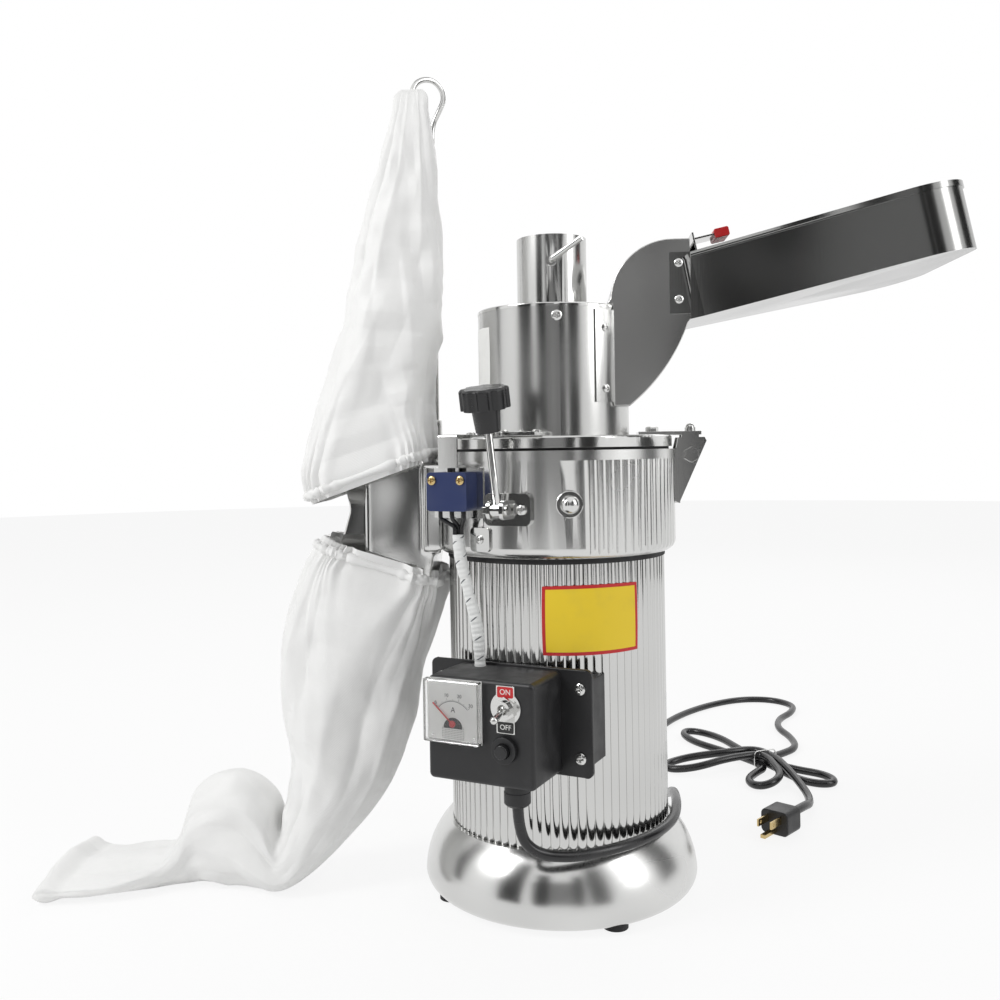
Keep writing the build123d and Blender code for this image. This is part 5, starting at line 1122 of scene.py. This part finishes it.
def make_plates():
    edge = bent_patch(HOUSING_R + 0.05, 0.3, PLATE_ANGLES, PLATE_LEVELS, corner=2.5)
    lay_surface("plate_border", edge, "red")
    inset = PLATE_RIM / HOUSING_R
    angles = (PLATE_ANGLES[0] + inset, PLATE_ANGLES[1] - inset)
    levels = (PLATE_LEVELS[0] + PLATE_RIM, PLATE_LEVELS[1] - PLATE_RIM)
    lay_surface("plate_face", bent_patch(HOUSING_R + 0.35, 0.12, angles, levels, corner=1.5), "yellow")
    label = bent_patch(NECK_R + 0.02, 0.12, LABEL_ANGLES, LABEL_LEVELS, corner=2.0)
    lay_surface("neck_label_place", label, "white", body="lid")


CAMERA_AT = (6.4, -841.2, 353.0)
CAMERA_TURN = math.radians(3.5)
CAMERA_ROLL = -0.016
CAMERA_LENS = 36.65
CAMERA_SHIFT = -0.05
WORLD_LEVEL = 0.5
FLOOR_WHITE = 0.86
# The stage is in metres: where lights and cards look, then the place, size and power or tone of each
FLOOR_R = 6.0
FLOOR_DROP = 0.0004
MIDDLE = (0.0, 0.0, 0.25)
LIGHTS = [
    ("key", (-1.7, -0.9, 1.7), (0.7, 1.2), 26.0),
    ("fill", (1.9, -0.9, 1.3), (0.6, 1.6), 11.0),
    ("back", (0.6, 1.8, 1.6), (1.6, 1.0), 8.0),
]
CARDS = [
    ("strip_left", (-0.5, -1.85, 0.6), (0.36, 1.6), 0.01),
    ("strip_right", (0.5, -1.9, 0.6), (0.30, 1.6), 0.01),
    ("dark_left", (-1.0, -1.15, 0.55), (0.55, 1.9), 0.015),
    ("dark_right", (0.85, -1.4, 0.55), (0.5, 1.9), 0.015),
    ("dark_behind", (-0.1, -2.4, 0.72), (1.9, 1.3), 0.32, (-0.1, 0.0, 0.4)),
    ("dark_side", (1.9, 0.25, 0.6), (0.8, 2.0), 0.02),
    ("dark_far", (-1.9, 0.3, 0.6), (0.9, 2.0), 0.02),
    ("dark_top", (-0.2, 0.5, 2.2), (1.2, 0.6), 0.04),
]


def aimed(name, data, place, axis, aim):
    """Puts data at a place, with an axis towards its aim."""
    made = put(name, data)
    made.location = place
    made.rotation_euler = (Vector(aim) - Vector(place)).to_track_quat(axis, "Y").to_euler()
    return made


def add_light(name, place, size, power):
    light = bpy.data.lights.new(name, "AREA")
    light.shape = "RECTANGLE"
    light.size, light.size_y = size
    light.energy = power
    aimed(name, light, place, "-Z", MIDDLE)


def stage_card(name, place, size, tone, aim=MIDDLE):
    """A grey card beside the stage that only the polished metal sees."""
    mesh = bpy.data.meshes.new(name)
    w, h = size[0] / 2, size[1] / 2
    mesh.from_pydata([(-w, -h, 0), (w, -h, 0), (w, h, 0), (-w, h, 0)], [], [(0, 1, 2, 3)])
    mesh.materials.append(moulded(name + "_card", (tone, tone, tone), 0.9))
    card = aimed(name, mesh, place, "Z", aim)
    card.visible_camera = False
    card.visible_diffuse = False
    card.visible_shadow = False


def pale_floor():
    """White floor: part of what is seen of it is plain white, and the rest keeps the shadows."""
    f = Finish("pale_floor", (0.9, 0.9, 0.9), 0.8)
    white = f.add("ShaderNodeEmission", {}, {"Color": (1.0, 1.0, 1.0, 1.0), "Strength": 1.0})
    share = f.seen_rays() * FLOOR_WHITE
    mix = f.add("ShaderNodeMixShader", {}, {0: share, 1: f.shader.outputs[0], 2: white.outputs[0]})
    f.plug(f.tree.nodes["Material Output"].inputs["Surface"], mix.outputs[0])
    return f.material


def make_stage():
    scene = bpy.context.scene
    scene.view_settings.view_transform = "Standard"
    scene.world = bpy.data.worlds.new("studio")
    scene.world.use_nodes = True
    sky = Nodes(scene.world.node_tree)
    background = sky.tree.nodes["Background"].inputs
    sky.plug(background["Color"], (1.0, 1.0, 1.0, 1.0))
    sky.plug(background["Strength"], sky.seen_rays() * (1.0 - WORLD_LEVEL) + WORLD_LEVEL)
    floor = bpy.data.meshes.new("floor")
    turn = np.linspace(0, 2 * math.pi, 64, endpoint=False)
    ring = [(FLOOR_R * math.cos(t), FLOOR_R * math.sin(t), -FLOOR_DROP) for t in turn]
    floor.from_pydata(ring, [], [list(range(64))])
    floor.materials.append(pale_floor())
    ground = put("floor", floor)
    for row in LIGHTS:
        add_light(*row)
    for row in CARDS:
        stage_card(*row)
    data = bpy.data.cameras.new("photo_camera")
    data.lens = CAMERA_LENS
    data.sensor_width = 36.0
    data.shift_y = CAMERA_SHIFT
    camera = put("photo_camera", data)
    stand = Matrix.Translation(Vector(CAMERA_AT) * MM) @ Matrix.Rotation(CAMERA_TURN, 4, "Z")
    camera.matrix_world = stand @ Matrix.Rotation(math.pi / 2, 4, "X") @ Matrix.Rotation(CAMERA_ROLL, 4, "Z")
    scene.camera = camera


class GRINDER_OT_finishes(bpy.types.Operator):
    """Make the materials"""

    bl_idname = "grinder.finishes"
    bl_label = "Finishes"

    def execute(self, context):
        make_finishes(context.scene.grinder_colours)
        return {"FINISHED"}


class GRINDER_OT_machine(bpy.types.Operator):
    """Dress the castings, the housing, the lid and the hopper"""

    bl_idname = "grinder.machine"
    bl_label = "Machine"

    def execute(self, context):
        make_machine(context.scene.grinder_sizes)
        return {"FINISHED"}


class GRINDER_OT_hardware(bpy.types.Operator):
    """Dress the clamp, the hinge, the lid switch and the control box"""

    bl_idname = "grinder.hardware"
    bl_label = "Hardware"

    def execute(self, context):
        make_hardware(context.scene.grinder_sizes)
        make_hanger()
        return {"FINISHED"}


class GRINDER_OT_fasteners(bpy.types.Operator):
    """Make the screw heads, bolts and studs"""

    bl_idname = "grinder.fasteners"
    bl_label = "Fasteners"

    def execute(self, context):
        make_fasteners()
        return {"FINISHED"}


class GRINDER_OT_bags(bpy.types.Operator):
    """Make the two cloth bags and their gathered hems"""

    bl_idname = "grinder.bags"
    bl_label = "Bags"

    def execute(self, context):
        make_bags(context.scene.grinder_sizes)
        return {"FINISHED"}


class GRINDER_OT_cord(bpy.types.Operator):
    """Lay the mains cord with its hank, tie and plug"""

    bl_idname = "grinder.cord"
    bl_label = "Cord"

    def execute(self, context):
        make_cord()
        return {"FINISHED"}


class GRINDER_OT_sleeve(bpy.types.Operator):
    """Make the braided sleeve of the switch wires"""

    bl_idname = "grinder.sleeve"
    bl_label = "Braided sleeve"

    def execute(self, context):
        make_sleeve()
        return {"FINISHED"}


class GRINDER_OT_panel(bpy.types.Operator):
    """Print the meter scale and the switch plate"""

    bl_idname = "grinder.panel"
    bl_label = "Panel"

    def execute(self, context):
        make_panel()
        return {"FINISHED"}


class GRINDER_OT_plates(bpy.types.Operator):
    """Lay the bare plates on the housing and the neck"""

    bl_idname = "grinder.plates"
    bl_label = "Plates"

    def execute(self, context):
        make_plates()
        return {"FINISHED"}


class GRINDER_OT_stage(bpy.types.Operator):
    """Set the floor, the lights and the camera"""

    bl_idname = "grinder.stage"
    bl_label = "Stage"

    def execute(self, context):
        make_stage()
        return {"FINISHED"}


OPERATORS = (GRINDER_OT_finishes, GRINDER_OT_stage, GRINDER_OT_cord, GRINDER_OT_machine, GRINDER_OT_hardware,
             GRINDER_OT_fasteners, GRINDER_OT_bags, GRINDER_OT_sleeve, GRINDER_OT_panel, GRINDER_OT_plates)


class GRINDER_PT_panel(bpy.types.Panel):
    """Lists the grinder's pieces"""

    bl_idname = "GRINDER_PT_panel"
    bl_label = "Electric grinder"
    bl_space_type = "VIEW_3D"
    bl_region_type = "UI"
    bl_category = "Grinder"

    def draw(self, context):
        for kind in OPERATORS:
            self.layout.operator(kind.bl_idname)


CLASSES = (GrinderSizes, GrinderColours, *OPERATORS, GRINDER_PT_panel)


def register():
    for kind in CLASSES:
        bpy.utils.register_class(kind)
    bpy.types.Scene.grinder_sizes = bpy.props.PointerProperty(type=GrinderSizes)
    bpy.types.Scene.grinder_colours = bpy.props.PointerProperty(type=GrinderColours)


def unregister():
    del bpy.types.Scene.grinder_sizes
    del bpy.types.Scene.grinder_colours
    for kind in reversed(CLASSES):
        bpy.utils.unregister_class(kind)


def main():
    register()
    for kind in OPERATORS:
        group, name = kind.bl_idname.split(".")
        getattr(getattr(bpy.ops, group), name)()


if __name__ == "__main__":
    main()
